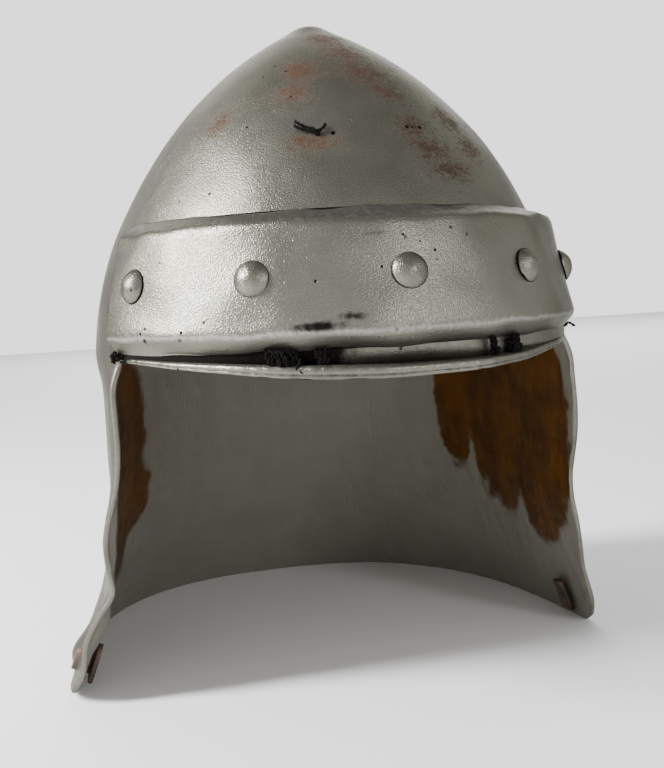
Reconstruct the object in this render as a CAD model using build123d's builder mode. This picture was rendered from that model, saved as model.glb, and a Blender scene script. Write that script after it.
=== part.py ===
from build123d import *
import math
import os

# A tall pointed helmet in one moulded shell: an ogival skull that runs down into a flaring neck guard,
# open at the face. A bevelled brow band is riveted round the front of the skull, and a rolled brow rim
# is laced on under it. Inside are a leather sweatband held by the same rivets, a quilted cap tied to the
# skull with thread, and the stubs of a leather chin strap.
#
# Frame, in millimetres: the helmet stands on its lower rim at Z = 0, with +Z up. The face looks along -Y
# and +X is the wearer's left. Angles round the helmet are measured from the front, positive towards +X.

# ---------------------------------------------------------------- driving dimensions

WALL = 2.6  # thickness of the moulded shell

# skull: an arc turned into an ogive, stretched from front to back
SKULL_HALF_WIDTH = 115.5
OGIVE_RADIUS = 187.0
OGIVE_FOOT = 141.0  # height where the arc is upright
SKULL_STRETCH = 1.07  # half length over half width
SKULL_PLAN_POWER = 2.0  # a plain ellipse
CROWN_HEIGHT = 309.0  # where the small apex knob starts
KNOB_RADIUS = 9.5
APEX_HEIGHT = 312.7

# neck guard: upright sides, then a flare to the lower rim, which reaches furthest behind the neck
GUARD_TOP = 162.0  # the skull's plan starts to change to the guard's here
GUARD_BLENDED = 142.0  # and is the guard's own from here down
GUARD_HALF_WIDTH = 112.8
GUARD_CENTRE_Y = -10.0
GUARD_FRONT = 114.0  # where its outline would meet the front, in the recess under the band
GUARD_BACK = 124.0
GUARD_PLAN_POWER = 2.4
EDGE_SPREAD = 3.0  # how far the guard's front edges bend outwards
EDGE_SPREAD_ANGLE = 72.0
EDGE_SPREAD_REACH = 15.0
SIDE_FLARE = 22.0
SIDE_FLARE_HEIGHT = 100.0
BACK_FLARE = 47.0
BACK_FLARE_HEIGHT = 150.0
FACE_EDGE_TOP_Y = -45.0  # front edge of the guard just below the brow
FACE_EDGE_UPPER = (-44.0, 125.0)  # and further down, as y and z
FACE_EDGE_MIDDLE = (-33.0, 85.0)
FACE_EDGE_LOW_Y = -28.0
CORNER_RADIUS = 22.0  # rounded lower front corner of the guard

# brow: the tilted plane where the skull ends above the face
BROW_SIDE_HEIGHT = 157.6  # on that plane at FACE_EDGE_TOP_Y
BROW_TILT = 2.2  # degrees, lower at the front

# brow band: a hollow strip with a bevel all round
# height, half width and half length of each of its arrises
BAND_BOTTOM = (160.7, 113.5, 124.1)
BAND_LOWER_ARRIS = (167.5, 120.0, 131.4)
BAND_UPPER_ARRIS = (211.5, 110.1, 120.6)
BAND_TOP = (216.5, 99.6, 106.6)
BAND_WALL = 2.6
BAND_HOLLOW_TOP = 208.5
BAND_FACE_END = 67.0  # degrees from the front
BAND_FOOT_END = 71.5
BAND_SOLID_END = 61.0  # the hollow behind the band stops here
BAND_BACK_Y = -31.0  # nothing of the band lies behind this

# brow rim under the band
RIM_HALF_WIDTH = 113.5
RIM_HALF_LENGTH = 129.5
RIM_THICKNESS = 4.2
RIM_ROLL = 1.9
RIM_END_GAP = 0.5  # between each end of the rim and the guard's front edge

# dome rivets
RIVET_HEIGHT = 189.6
RIVET_ANGLES = {
    "front": 0.0,
    "left_front": 28.5,
    "right_front": -28.5,
    "left_side": 57.8,
    "right_side": -57.8,
}
RIVET_HEAD_RADIUS = 7.4
RIVET_HEAD_HEIGHT = 4.6
RIVET_SHANK_RADIUS = 2.0
RIVET_HOLE_RADIUS = 2.15
RIVET_TAIL_RADIUS = 2.9
RIVET_TAIL_HEIGHT = 1.2
WASHER_RADIUS = 5.5
WASHER_THICKNESS = 1.0
WASHER_CLEARANCE = 0.5

# liner
LEATHER = 2.0
LEATHER_GAP = 0.3  # between the leather and the skull
SWEATBAND_BOTTOM = 172.0
SWEATBAND_TOP = 208.0
CAP_GAP = 3.0  # between the quilted cap and the skull
CAP_THICKNESS = 7.0
CAP_BOTTOM = 214.0
CAP_TOP = 290.0

# thread ties that hold the cap: angle from the front, and height
THREAD_RADIUS = 0.7
TIE_HOLE_RADIUS = 1.0
TIE_HOLE_SPACING = 6.5
TIE_PLACES = {
    "tie_right_front": (-13.6, 248.3),
    "tie_left_front": (12.9, 250.6),
    "tie_right_back": (-160.0, 250.0),
    "tie_left_back": (160.0, 250.0),
}
TIE_DEPTH_IN_CAP = 2.0
TAILS = ((-38.0, 10.0), (-22.0, 9.5), (-130.0, 4.5))  # turn from the line of the holes, and length
TAIL_LIFT = 0.95

# lacing of the brow rim: angle from the front of each group, its number of turns, and how far it stands
# outside the band's bottom edge
LACING_PLACES = {
    "lacing_right_corner": (-62.0, 3, 2.8),
    "lacing_right_front": (-23.6, 8, 1.8),
    "lacing_front": (-16.4, 3, 1.8),
    "lacing_left_front": (17.4, 2, 1.8),
    "lacing_left_middle": (23.2, 4, 1.8),
    "lacing_left_corner": (62.0, 3, 2.8),
}
LACING_PITCH = 1.5
LACING_CLEARANCE = 0.05

# chin strap stubs in the lower front corners
SLOT_Y = 0.0
SLOT_Z = 13.0
SLOT_LENGTH = 11.0
SLOT_WIDTH = 2.6
STRAP_THICKNESS = 2.4
TONGUE_LENGTH = 9.5
TONGUE_HEIGHT = 19.0
TONGUE_RAISE = 1.5  # its middle above the slot's
TONGUE_CLEARANCE = 1.2

RING_POINTS = 24  # points of each outline that a solid is lofted through
REACH = 400.0  # past the helmet's sides, for cuts that go right through it
HOLE_DEPTH = 80.0  # past the wall, the band and the leather
WALL_HOLE_DEPTH = 20.0  # past the wall alone
HOLLOW_FOOT = -6.0  # the hollow starts a little below the rim, so that it cuts it open


# ---------------------------------------------------------------- the shell's surface as formulas


def blend(low, high, share):
    """Smooth step from low to high as share goes from 0 to 1."""
    share = min(1.0, max(0.0, share))
    return low + (high - low) * share * share * (3 - 2 * share)


def half_width(z):
    """Half the outer width of the shell at height z."""
    rise = max(0.0, z - OGIVE_FOOT)
    skull = SKULL_HALF_WIDTH - OGIVE_RADIUS + math.sqrt(OGIVE_RADIUS**2 - rise**2)
    below = max(0.0, SIDE_FLARE_HEIGHT - z) / SIDE_FLARE_HEIGHT
    guard = GUARD_HALF_WIDTH + SIDE_FLARE * below**2
    return blend(guard, skull, (z - GUARD_BLENDED) / (GUARD_TOP - GUARD_BLENDED))


def plan(z):
    """Centre Y, length ahead of it, length behind it and power of the shell's outline at height z."""
    share = (z - GUARD_BLENDED) / (GUARD_TOP - GUARD_BLENDED)
    below = max(0.0, BACK_FLARE_HEIGHT - z) / BACK_FLARE_HEIGHT
    guard_back = GUARD_BACK + BACK_FLARE * below**1.7
    skull_length = half_width(max(z, GUARD_BLENDED)) * SKULL_STRETCH
    centre = blend(GUARD_CENTRE_Y, 0.0, share)
    ahead = blend(GUARD_FRONT + GUARD_CENTRE_Y, skull_length, share)
    behind = blend(guard_back - GUARD_CENTRE_Y, skull_length, share)
    power = blend(GUARD_PLAN_POWER, SKULL_PLAN_POWER, share)
    return centre, ahead, behind, power


def wall_slant(z):
    """How much longer a horizontal cut through the wall is than its thickness."""
    slope = half_width(z + 0.5) - half_width(z - 0.5)
    return math.sqrt(1 + slope * slope)


def shell_point(angle, z, inset=0.0):
    """Point of the shell's outer surface, or inset below it, at an angle in degrees from the front."""
    centre, ahead, behind, power = plan(z)
    turn = math.radians(angle)
    length = ahead if math.cos(turn) > 0 else behind
    across = abs(math.sin(turn)) / half_width(z)
    along = abs(math.cos(turn)) / length
    radius = (across**power + along**power) ** (-1 / power) - inset * wall_slant(z)
    from_front = abs((angle + 180) % 360 - 180)
    spread = EDGE_SPREAD * math.exp(-(((from_front - EDGE_SPREAD_ANGLE) / EDGE_SPREAD_REACH) ** 2))
    radius += blend(spread, 0.0, (z - GUARD_BLENDED) / (GUARD_TOP - GUARD_BLENDED))
    return Vector(radius * math.sin(turn), centre - radius * math.cos(turn), z)


def ellipse_point(angle, z, width, length):
    """Point at an angle from the front on an ellipse of that half width and half length."""
    turn = math.radians(angle)
    radius = 1 / math.hypot(math.sin(turn) / width, math.cos(turn) / length)
    return Vector(radius * math.sin(turn), -radius * math.cos(turn), z)


def band_point(angle, z, inset=0.0):
    """Point of the band's sloping face."""
    low_z, low_width, low_length = BAND_LOWER_ARRIS
    high_z, high_width, high_length = BAND_UPPER_ARRIS
    rise = (z - low_z) / (high_z - low_z)
    width = low_width + rise * (high_width - low_width) - inset
    length = low_length + rise * (high_length - low_length) - inset
    return ellipse_point(angle, z, width, length)


def tangent_plane(surface, angle, z, inset=0.0):
    """Plane on a surface, its normal pointing out and its Y axis up the surface."""
    middle = surface(angle, z, inset)
    sideways = surface(angle + 0.5, z, inset) - surface(angle - 0.5, z, inset)
    upwards = surface(angle, z + 0.5, inset) - surface(angle, z - 0.5, inset)
    return Plane(origin=middle, x_dir=sideways, z_dir=sideways.cross(upwards))


def depth_below(plane, inset):
    """Distance from a plane's origin, against its normal, to the shell's skin at that inset."""
    near, far = 0.0, WALL_HOLE_DEPTH * 2
    for _ in range(30):
        middle = (near + far) / 2
        point = plane.origin - plane.z_dir * middle
        centre = plan(point.Z)[0]
        angle = math.degrees(math.atan2(point.X, centre - point.Y))
        skin = shell_point(angle, point.Z, inset)
        if math.hypot(point.X, point.Y - centre) > math.hypot(skin.X, skin.Y - centre):
            near = middle
        else:
            far = middle
    return near


def shell_loft(heights, inset):
    """Solid that fills the shell's outline, inset by a skin thickness, through a list of heights."""
    with BuildPart() as filled:
        for z in heights:
            with BuildSketch(Plane.XY.offset(z)):
                with BuildLine():
                    ring = [shell_point(360 * i / RING_POINTS, z, inset) for i in range(RING_POINTS)]
                    Spline([(p.X, p.Y) for p in ring], periodic=True)
                make_face()
        loft(ruled=True)
    return filled.part


def spaced(low, high, count):
    """Evenly spaced heights from low to high."""
    return [low + (high - low) * i / (count - 1) for i in range(count)]


def save(piece, label):
    piece.label = label
    export_step(piece, f"parts/{label}.step")


os.makedirs("parts", exist_ok=True)

# a primitive stands on its place, or hangs below it
ABOVE = (Align.CENTER, Align.CENTER, Align.MIN)
BELOW = (Align.CENTER, Align.CENTER, Align.MAX)

rivet_planes = {
    side: tangent_plane(band_point, angle, RIVET_HEIGHT) for side, angle in RIVET_ANGLES.items()
}
brow_plane = Plane(
    origin=(0, FACE_EDGE_TOP_Y, BROW_SIDE_HEIGHT),
    x_dir=(1, 0, 0),
    z_dir=(0, -math.sin(math.radians(BROW_TILT)), math.cos(math.radians(BROW_TILT))),
)


# ---------------------------------------------------------------- shell

GUARD_HEIGHTS = spaced(0, 88, 9) + [104, 124, GUARD_BLENDED, 152]
SKULL_HEIGHTS = spaced(GUARD_TOP, CAP_TOP, 10)
SKIN_HEIGHTS = GUARD_HEIGHTS + SKULL_HEIGHTS + [296, 303, CROWN_HEIGHT]
HOLLOW_HEIGHTS = [HOLLOW_FOOT] + SKIN_HEIGHTS[1:-1]


def tie_plane(place):
    angle, z = TIE_PLACES[place]
    return tangent_plane(shell_point, angle, z)


def slot_plane(side):
    """Plane on the outer surface at the middle of a strap slot; side is +1 on the wearer's left."""
    off_centre = math.degrees(math.asin((SLOT_Y - GUARD_CENTRE_Y) / half_width(SLOT_Z)))
    return tangent_plane(shell_point, side * (90 + off_centre), SLOT_Z)


outer_solid = shell_loft(SKIN_HEIGHTS, 0)
hollow_solid = shell_loft(HOLLOW_HEIGHTS, WALL)

with BuildPart() as shell:
    add(outer_solid)
    with Locations((0, 0, APEX_HEIGHT - KNOB_RADIUS)):
        Sphere(KNOB_RADIUS)
    add(hollow_solid, mode=Mode.SUBTRACT)
    # face opening: the brow above, the guard's front edges at the sides
    front_y = FACE_EDGE_TOP_Y - REACH
    brow_front_z = BROW_SIDE_HEIGHT - REACH * math.tan(math.radians(BROW_TILT))
    corner_end = FACE_EDGE_LOW_Y + CORNER_RADIUS
    with BuildSketch(Plane.YZ):
        with BuildLine():
            Polyline(
                (corner_end, 0),
                (corner_end, HOLLOW_FOOT),
                (front_y, HOLLOW_FOOT),
                (front_y, brow_front_z),
                (FACE_EDGE_TOP_Y, BROW_SIDE_HEIGHT),
            )
            Spline(
                (FACE_EDGE_TOP_Y, BROW_SIDE_HEIGHT),
                FACE_EDGE_UPPER,
                FACE_EDGE_MIDDLE,
                (FACE_EDGE_LOW_Y, CORNER_RADIUS),
                tangents=((0, -1), (0, -1)),
            )
            JernArc((FACE_EDGE_LOW_Y, CORNER_RADIUS), (0, -1), CORNER_RADIUS, 90)
        make_face()
    extrude(amount=REACH, both=True, mode=Mode.SUBTRACT)
    for side in (-1, 1):
        with Locations(slot_plane(side)):
            Box(SLOT_WIDTH, SLOT_LENGTH, WALL_HOLE_DEPTH, mode=Mode.SUBTRACT)
    for plane in rivet_planes.values():
        with Locations(plane):
            Cylinder(RIVET_HOLE_RADIUS, HOLE_DEPTH, mode=Mode.SUBTRACT)
    for place in TIE_PLACES:
        with Locations(tie_plane(place)):
            with GridLocations(TIE_HOLE_SPACING, 0, 2, 1):
                Cylinder(TIE_HOLE_RADIUS, WALL_HOLE_DEPTH, mode=Mode.SUBTRACT)
save(shell.part, "helmet_shell")


# ---------------------------------------------------------------- brow band


def ellipse_loft(rings):
    """Straight-sided solid through ellipses given as height, half width and half length."""
    with BuildPart() as filled:
        for z, width, length in rings:
            with BuildSketch(Plane.XY.offset(z)):
                Ellipse(width, length)
        loft(ruled=True)
    return filled.part


def band_end_plane(side):
    """Plane of the bevel at one end of the band, its normal pointing away from the band."""
    low = ellipse_point(side * BAND_FACE_END, *BAND_LOWER_ARRIS)
    high = ellipse_point(side * BAND_FACE_END, *BAND_UPPER_ARRIS)
    foot = shell_point(side * BAND_FOOT_END, BAND_LOWER_ARRIS[0])
    return Plane(origin=low, x_dir=high - low, z_dir=(foot - low).cross(high - low) * side)


def sector(angle):
    """Tall wedge in front of the helmet's axis, as wide as the angle each side of the front."""
    across = REACH * math.sin(math.radians(angle))
    ahead = -REACH * math.cos(math.radians(angle))
    with BuildPart() as wedge:
        with BuildSketch():
            with BuildLine():
                Polyline(
                    (0, 0), (across, ahead), (across, -REACH), (-across, -REACH), (-across, ahead), (0, 0)
                )
            make_face()
        extrude(amount=REACH)
    return wedge.part


def inset_ring(ring, inset):
    z, width, length = ring
    return z, width - inset, length - inset


band_hollow = ellipse_loft(
    [
        inset_ring((BAND_BOTTOM[0] - BAND_WALL, *BAND_BOTTOM[1:]), BAND_WALL),
        inset_ring(BAND_BOTTOM, BAND_WALL),
        inset_ring(BAND_LOWER_ARRIS, BAND_WALL),
        inset_ring((BAND_HOLLOW_TOP, *BAND_UPPER_ARRIS[1:]), BAND_WALL),
    ]
)

with BuildPart() as band:
    add(ellipse_loft([BAND_BOTTOM, BAND_LOWER_ARRIS, BAND_UPPER_ARRIS, BAND_TOP]))
    add(band_hollow & sector(BAND_SOLID_END), mode=Mode.SUBTRACT)
    for side in (-1, 1):
        with Locations(band_end_plane(side)):
            Box(REACH, REACH, REACH, align=ABOVE, mode=Mode.SUBTRACT)
    with Locations((0, BAND_BACK_Y, RIVET_HEIGHT)):
        Box(REACH, REACH, REACH, align=(Align.CENTER, Align.MIN, Align.CENTER), mode=Mode.SUBTRACT)
    add(outer_solid, mode=Mode.SUBTRACT)
    for plane in rivet_planes.values():
        with Locations(plane):
            Cylinder(RIVET_HOLE_RADIUS, HOLE_DEPTH, mode=Mode.SUBTRACT)
save(band.part, "brow_band")


# ---------------------------------------------------------------- brow rim

with BuildPart() as brow_rim:
    centre_y = -FACE_EDGE_TOP_Y / math.cos(math.radians(BROW_TILT))
    with BuildSketch(brow_plane):
        with Locations((0, centre_y)):
            Ellipse(RIM_HALF_WIDTH, RIM_HALF_LENGTH)
    extrude(amount=-RIM_THICKNESS)
    fillet(brow_rim.edges(), RIM_ROLL)
    add(hollow_solid, mode=Mode.SUBTRACT)
    with Locations((0, FACE_EDGE_TOP_Y - RIM_END_GAP, BROW_SIDE_HEIGHT)):
        Box(REACH, REACH, REACH, align=(Align.CENTER, Align.MIN, Align.CENTER), mode=Mode.SUBTRACT)
save(brow_rim.part, "brow_rim")


# ---------------------------------------------------------------- sweatband and quilted cap

SWEATBAND_SKIN = WALL + LEATHER_GAP
CAP_SKIN = WALL + CAP_GAP

with BuildPart() as sweatband:
    height = SWEATBAND_TOP - SWEATBAND_BOTTOM
    with Locations((0, 0, SWEATBAND_BOTTOM)):
        Box(REACH, REACH, height, align=ABOVE)
    add(shell_loft(SKULL_HEIGHTS, SWEATBAND_SKIN), mode=Mode.INTERSECT)
    add(shell_loft(SKULL_HEIGHTS, SWEATBAND_SKIN + LEATHER), mode=Mode.SUBTRACT)
    for plane in rivet_planes.values():
        with Locations(plane):
            Cylinder(RIVET_HOLE_RADIUS, HOLE_DEPTH, mode=Mode.SUBTRACT)
save(sweatband.part, "sweatband")


def tie_legs(place, low, high):
    """The two lengths of thread that pass through the skull, between two heights from its skin."""
    with BuildPart() as legs:
        with Locations(tie_plane(place).offset(low)):
            with GridLocations(TIE_HOLE_SPACING, 0, 2, 1):
                Cylinder(THREAD_RADIUS, high - low, align=ABOVE)
    return legs.part


with BuildPart() as cap:
    add(shell_loft(spaced(CAP_BOTTOM, CAP_TOP, 5), CAP_SKIN))
    head_heights = spaced(CAP_BOTTOM - CAP_THICKNESS, CAP_TOP - CAP_THICKNESS, 5)
    add(shell_loft(head_heights, CAP_SKIN + CAP_THICKNESS), mode=Mode.SUBTRACT)
    for place in TIE_PLACES:
        add(tie_legs(place, -(CAP_SKIN + TIE_DEPTH_IN_CAP), 0), mode=Mode.SUBTRACT)
save(cap.part, "liner_cap")

for place in TIE_PLACES:
    plane = tie_plane(place)
    with BuildPart() as tie:
        add(tie_legs(place, -(CAP_SKIN + TIE_DEPTH_IN_CAP), THREAD_RADIUS))
        with Locations(plane.offset(THREAD_RADIUS)):
            Cylinder(THREAD_RADIUS, TIE_HOLE_SPACING, rotation=(0, 90, 0))
        if place == "tie_right_front":
            # its loose ends lie against the skull beside the knot
            for turn, length in TAILS:
                with Locations(plane.offset(TAIL_LIFT)):
                    with Locations(Location((-TIE_HOLE_SPACING / 2, 0, 0), (0, 0, turn))):
                        Cylinder(THREAD_RADIUS, length, rotation=(0, -90, 0), align=ABOVE)
    save(tie.part, place)


# ---------------------------------------------------------------- rivets and washers

DOME_RADIUS = (RIVET_HEAD_RADIUS**2 + RIVET_HEAD_HEIGHT**2) / (2 * RIVET_HEAD_HEIGHT)

for side, plane in rivet_planes.items():
    grip = depth_below(plane, SWEATBAND_SKIN + LEATHER) + WASHER_CLEARANCE
    with BuildPart() as rivet:
        with Locations(plane.offset(RIVET_HEAD_HEIGHT - DOME_RADIUS)):
            Sphere(DOME_RADIUS)
        with Locations(plane):
            # only the cap of the sphere that stands out of the band is kept
            Cylinder(DOME_RADIUS * 2, DOME_RADIUS * 3, align=BELOW, mode=Mode.SUBTRACT)
            Cylinder(RIVET_SHANK_RADIUS, grip + WASHER_THICKNESS, align=BELOW)
        with Locations(plane.offset(-(grip + WASHER_THICKNESS))):
            Cylinder(RIVET_TAIL_RADIUS, RIVET_TAIL_HEIGHT, align=BELOW)
    save(rivet.part, f"rivet_{side}")
    with BuildPart() as washer:
        with Locations(plane.offset(-grip)):
            Cylinder(WASHER_RADIUS, WASHER_THICKNESS, align=BELOW)
            Cylinder(RIVET_HOLE_RADIUS, WASHER_THICKNESS * 3, mode=Mode.SUBTRACT)
    save(washer.part, f"washer_{side}")


# ---------------------------------------------------------------- lacing of the brow rim

LACING_STEP = math.degrees(LACING_PITCH / RIM_HALF_LENGTH)

for name, (angle, turns, outset) in LACING_PLACES.items():
    ring = inset_ring(BAND_BOTTOM, -outset)
    with BuildPart() as lacing:
        for turn in range(turns):
            middle = ellipse_point(angle + (turn - (turns - 1) / 2) * LACING_STEP, *ring)
            rim_top = BROW_SIDE_HEIGHT + (middle.Y - FACE_EDGE_TOP_Y) * math.tan(math.radians(BROW_TILT))
            low = rim_top + LACING_CLEARANCE
            height = BAND_BOTTOM[0] - LACING_CLEARANCE - low
            with Locations((middle.X, middle.Y, low)):
                Cylinder(THREAD_RADIUS, height, align=ABOVE)
    save(lacing.part, name)


# ---------------------------------------------------------------- chin strap stubs

for name, side in (("left", 1), ("right", -1)):
    plane = slot_plane(side)
    with BuildPart() as root:
        with Locations(plane.offset(-WALL / 2)):
            Box(SLOT_WIDTH, SLOT_LENGTH, WALL)
    save(root.part, f"strap_root_{name}")
    hinge = plane.offset(-(WALL + TONGUE_CLEARANCE + STRAP_THICKNESS / 2))
    with BuildPart() as tongue:
        with Locations(hinge):
            with Locations((0, TONGUE_RAISE, 0)):
                Cylinder(STRAP_THICKNESS / 2, TONGUE_HEIGHT, rotation=(90, 0, 0))
                Box(
                    TONGUE_LENGTH,
                    TONGUE_HEIGHT,
                    STRAP_THICKNESS,
                    align=(Align.MIN if side < 0 else Align.MAX, Align.CENTER, Align.CENTER),
                )
    save(tongue.part, f"strap_tongue_{name}")
    print(name, "hinge at", hinge.origin, "along", hinge.y_dir)
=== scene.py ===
import math

import bmesh
import bpy
import numpy as np
from mathutils import Matrix, Vector


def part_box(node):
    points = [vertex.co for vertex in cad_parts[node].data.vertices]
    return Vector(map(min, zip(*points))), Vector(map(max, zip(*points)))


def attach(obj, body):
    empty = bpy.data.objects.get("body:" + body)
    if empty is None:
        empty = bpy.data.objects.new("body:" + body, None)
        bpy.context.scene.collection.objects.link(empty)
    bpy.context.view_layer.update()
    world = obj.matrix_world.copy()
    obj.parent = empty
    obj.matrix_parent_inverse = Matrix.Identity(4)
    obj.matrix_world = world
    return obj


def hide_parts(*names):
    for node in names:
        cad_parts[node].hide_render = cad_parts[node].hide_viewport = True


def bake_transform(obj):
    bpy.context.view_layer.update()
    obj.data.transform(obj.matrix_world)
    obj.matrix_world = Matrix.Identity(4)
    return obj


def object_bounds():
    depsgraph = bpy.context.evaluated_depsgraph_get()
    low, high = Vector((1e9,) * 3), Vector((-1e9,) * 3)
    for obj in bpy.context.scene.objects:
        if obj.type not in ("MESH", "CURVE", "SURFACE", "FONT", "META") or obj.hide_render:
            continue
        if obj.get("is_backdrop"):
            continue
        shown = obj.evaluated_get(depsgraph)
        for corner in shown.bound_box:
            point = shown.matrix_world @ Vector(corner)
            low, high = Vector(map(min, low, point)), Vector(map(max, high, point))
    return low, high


# The helmet's visual model: the painted shell with its wear, the riveted brow band, the rolled and laced brow
# rim, dome rivets, thread ties, leather strap stubs, sweatband and quilted cap.
#
# Shapes are worked out in millimetres in the frame of the CAD model and turned into metres when a mesh is
# made. Angles are in degrees from the front, positive towards +X.

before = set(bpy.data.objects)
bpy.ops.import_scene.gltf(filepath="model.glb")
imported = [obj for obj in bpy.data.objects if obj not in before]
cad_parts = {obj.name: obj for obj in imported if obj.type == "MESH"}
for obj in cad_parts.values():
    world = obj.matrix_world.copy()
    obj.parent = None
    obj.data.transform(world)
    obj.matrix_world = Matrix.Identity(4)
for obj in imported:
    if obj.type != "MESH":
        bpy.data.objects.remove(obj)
cad_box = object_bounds()

MM = 0.001

# ---------------------------------------------------------------- camera

CAMERA_PLACE = (-142.1, -505.7, 182.6)
CAMERA_AZIMUTH = -15.92
CAMERA_DOWN = 5.0
CAMERA_ROLL = -3.16
CAMERA_LENS = 48.86
CAMERA_SENSOR = 36.0


def place_camera():
    azimuth, down, roll = (math.radians(v) for v in (CAMERA_AZIMUTH, CAMERA_DOWN, CAMERA_ROLL))
    level = np.array([-math.sin(azimuth), math.cos(azimuth), 0])
    right = np.array([math.cos(azimuth), math.sin(azimuth), 0])
    up = np.array([0, 0, 1])
    ahead = level * math.cos(down) - up * math.sin(down)
    above = up * math.cos(down) + level * math.sin(down)
    camera_x = right * math.cos(roll) + above * math.sin(roll)
    camera_y = above * math.cos(roll) - right * math.sin(roll)
    data = bpy.data.cameras.new("camera")
    data.lens = CAMERA_LENS
    data.sensor_width = CAMERA_SENSOR
    camera = bpy.data.objects.new("camera", data)
    bpy.context.collection.objects.link(camera)
    columns = np.column_stack([camera_x, camera_y, -ahead, np.array(CAMERA_PLACE) * MM])
    camera.matrix_world = Matrix(np.vstack([columns, [0, 0, 0, 1]]).tolist())
    bpy.context.scene.camera = camera


place_camera()

# ---------------------------------------------------------------- dimensions shared with the CAD model

WALL = 2.6
SKULL_HALF_WIDTH = 115.5
OGIVE_RADIUS = 187.0
OGIVE_FOOT = 141.0
SKULL_STRETCH = 1.07
SKULL_PLAN_POWER = 2.0
GUARD_TOP = 162.0
GUARD_BLENDED = 142.0
GUARD_HALF_WIDTH = 112.8
GUARD_CENTRE_Y = -10.0
GUARD_FRONT = 114.0
GUARD_BACK = 124.0
GUARD_PLAN_POWER = 2.4
EDGE_SPREAD = 3.0
EDGE_SPREAD_ANGLE = 72.0
EDGE_SPREAD_REACH = 15.0
SIDE_FLARE = 22.0
SIDE_FLARE_HEIGHT = 100.0
BACK_FLARE = 47.0
BACK_FLARE_HEIGHT = 150.0
FACE_EDGE_TOP_Y = -45.0
CORNER_RADIUS = 22.0
BROW_SIDE_HEIGHT = 157.6

# height, half width and half length of each arris of the band
BAND_BOTTOM = (160.7, 113.5, 124.1)
BAND_LOWER_ARRIS = (167.5, 120.0, 131.4)
BAND_UPPER_ARRIS = (211.5, 110.1, 120.6)
BAND_TOP_HEIGHT = 216.5
BAND_WALL = 2.6
BAND_HOLLOW_TOP = 208.5
BAND_FACE_END = 67.0
BAND_FOOT_END = 71.5
BAND_SOLID_END = 61.0

RIM_HALF_WIDTH = 113.5
RIM_HALF_LENGTH = 129.5
RIM_END_GAP = 0.5

RIVET_HEIGHT = 189.6
RIVET_ANGLES = {
    "front": 0.0,
    "left_front": 28.5,
    "right_front": -28.5,
    "left_side": 57.8,
    "right_side": -57.8,
}

# ---------------------------------------------------------------- dimensions of the visual model

# height and half width of the rows on the apex knob
TIP_ROWS = ((306.0, 16.3), (308.6, 11.6), (310.6, 8.4), (311.8, 6.0), (312.5, 3.1))
TIP_HEIGHT = 312.7
LAST_SKULL_ROW = 303.0
INNER_TOP = 298.0
ROW_STEP = 3.0
BROW_COLUMNS = 96
GUARD_COLUMNS = 176
# front edge of the guard: height and how far forward it lies
FACE_EDGE = (
    (0.0, -27.8),
    (22.0, -28.4),
    (35.0, -29.6),
    (47.0, -33.0),
    (60.0, -34.6),
    (72.0, -31.8),
    (84.0, -32.4),
    (95.0, -36.6),
    (108.0, -41.6),
    (125.0, -44.2),
    (142.0, -44.8),
    (157.6, -45.0),
)
# how far the moulding has set over to the wearer's left, by height
LEAN = ((0, 0), (30, 1.4), (70, 2), (140, 1.8), (160, 1), (200, 0.8), (245, 1.5), (290, 0.6), (313, 0))
# how far the wearer's right front edge has curled outwards, by height, and the left one at its most
RIGHT_EDGE_CURL = (
    (0, 1.6),
    (18, 4.2),
    (30, 7.2),
    (41, 5.2),
    (52, 0.4),
    (65, 3.4),
    (75, 5.2),
    (85, 4.2),
    (95, 2.3),
    (113, 0.6),
    (137, 0.5),
    (150, 0.3),
    (160, 0.0),
)
LEFT_EDGE_CURL = 1.5
EDGE_CURL_REACH = 15.0
# the curled lower corner and the dent above it: height, then middle and reach along Y and along Z
CORNER_SHAPES = ((6.4, 14, 18, 14, 9), (-3.0, 2, 24, 33, 11))
CORNER_LIFT = 2.5
SKIN_WAVES = ((0.25, 60), (0.12, 24))  # height and size
# upper and lower edge of the brow rim at its sides and at the front
RIM_TOP = (159.2, 155.1)
RIM_FOOT = (157.1, 151.1)
# how much higher the rim runs than that, by angle
RIM_LIFT = (
    (-75, 1.0),
    (-50, 1.0),
    (-25, 0.0),
    (-10, -0.6),
    (10, -1.7),
    (25, -1.2),
    (45, 0.2),
    (56, 0.8),
    (66, 3.0),
    (75, 3.6),
)
# how much deeper its lower lip hangs
RIM_SAG = ((-75, 0.0), (-50, 0.0), (-32, 0.7), (-17, 1.7), (0, 1.2), (20, 0.5), (45, 0.0), (75, 0.0))


# ---------------------------------------------------------------- the helmet's surface


def smooth_step(low, high, share):
    """From low at a share of 0 to high at 1, without a kink."""
    share = np.clip(share, 0, 1)
    return low + (high - low) * share * share * (3 - 2 * share)


def half_width(z):
    """Half the outer width of the shell at height z."""
    rise = np.clip(z - OGIVE_FOOT, 0, OGIVE_RADIUS)
    skull = SKULL_HALF_WIDTH - OGIVE_RADIUS + np.sqrt(OGIVE_RADIUS**2 - rise**2)
    below = np.maximum(0, SIDE_FLARE_HEIGHT - z) / SIDE_FLARE_HEIGHT
    guard = GUARD_HALF_WIDTH + SIDE_FLARE * below**2
    return smooth_step(guard, skull, (z - GUARD_BLENDED) / (GUARD_TOP - GUARD_BLENDED))


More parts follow.
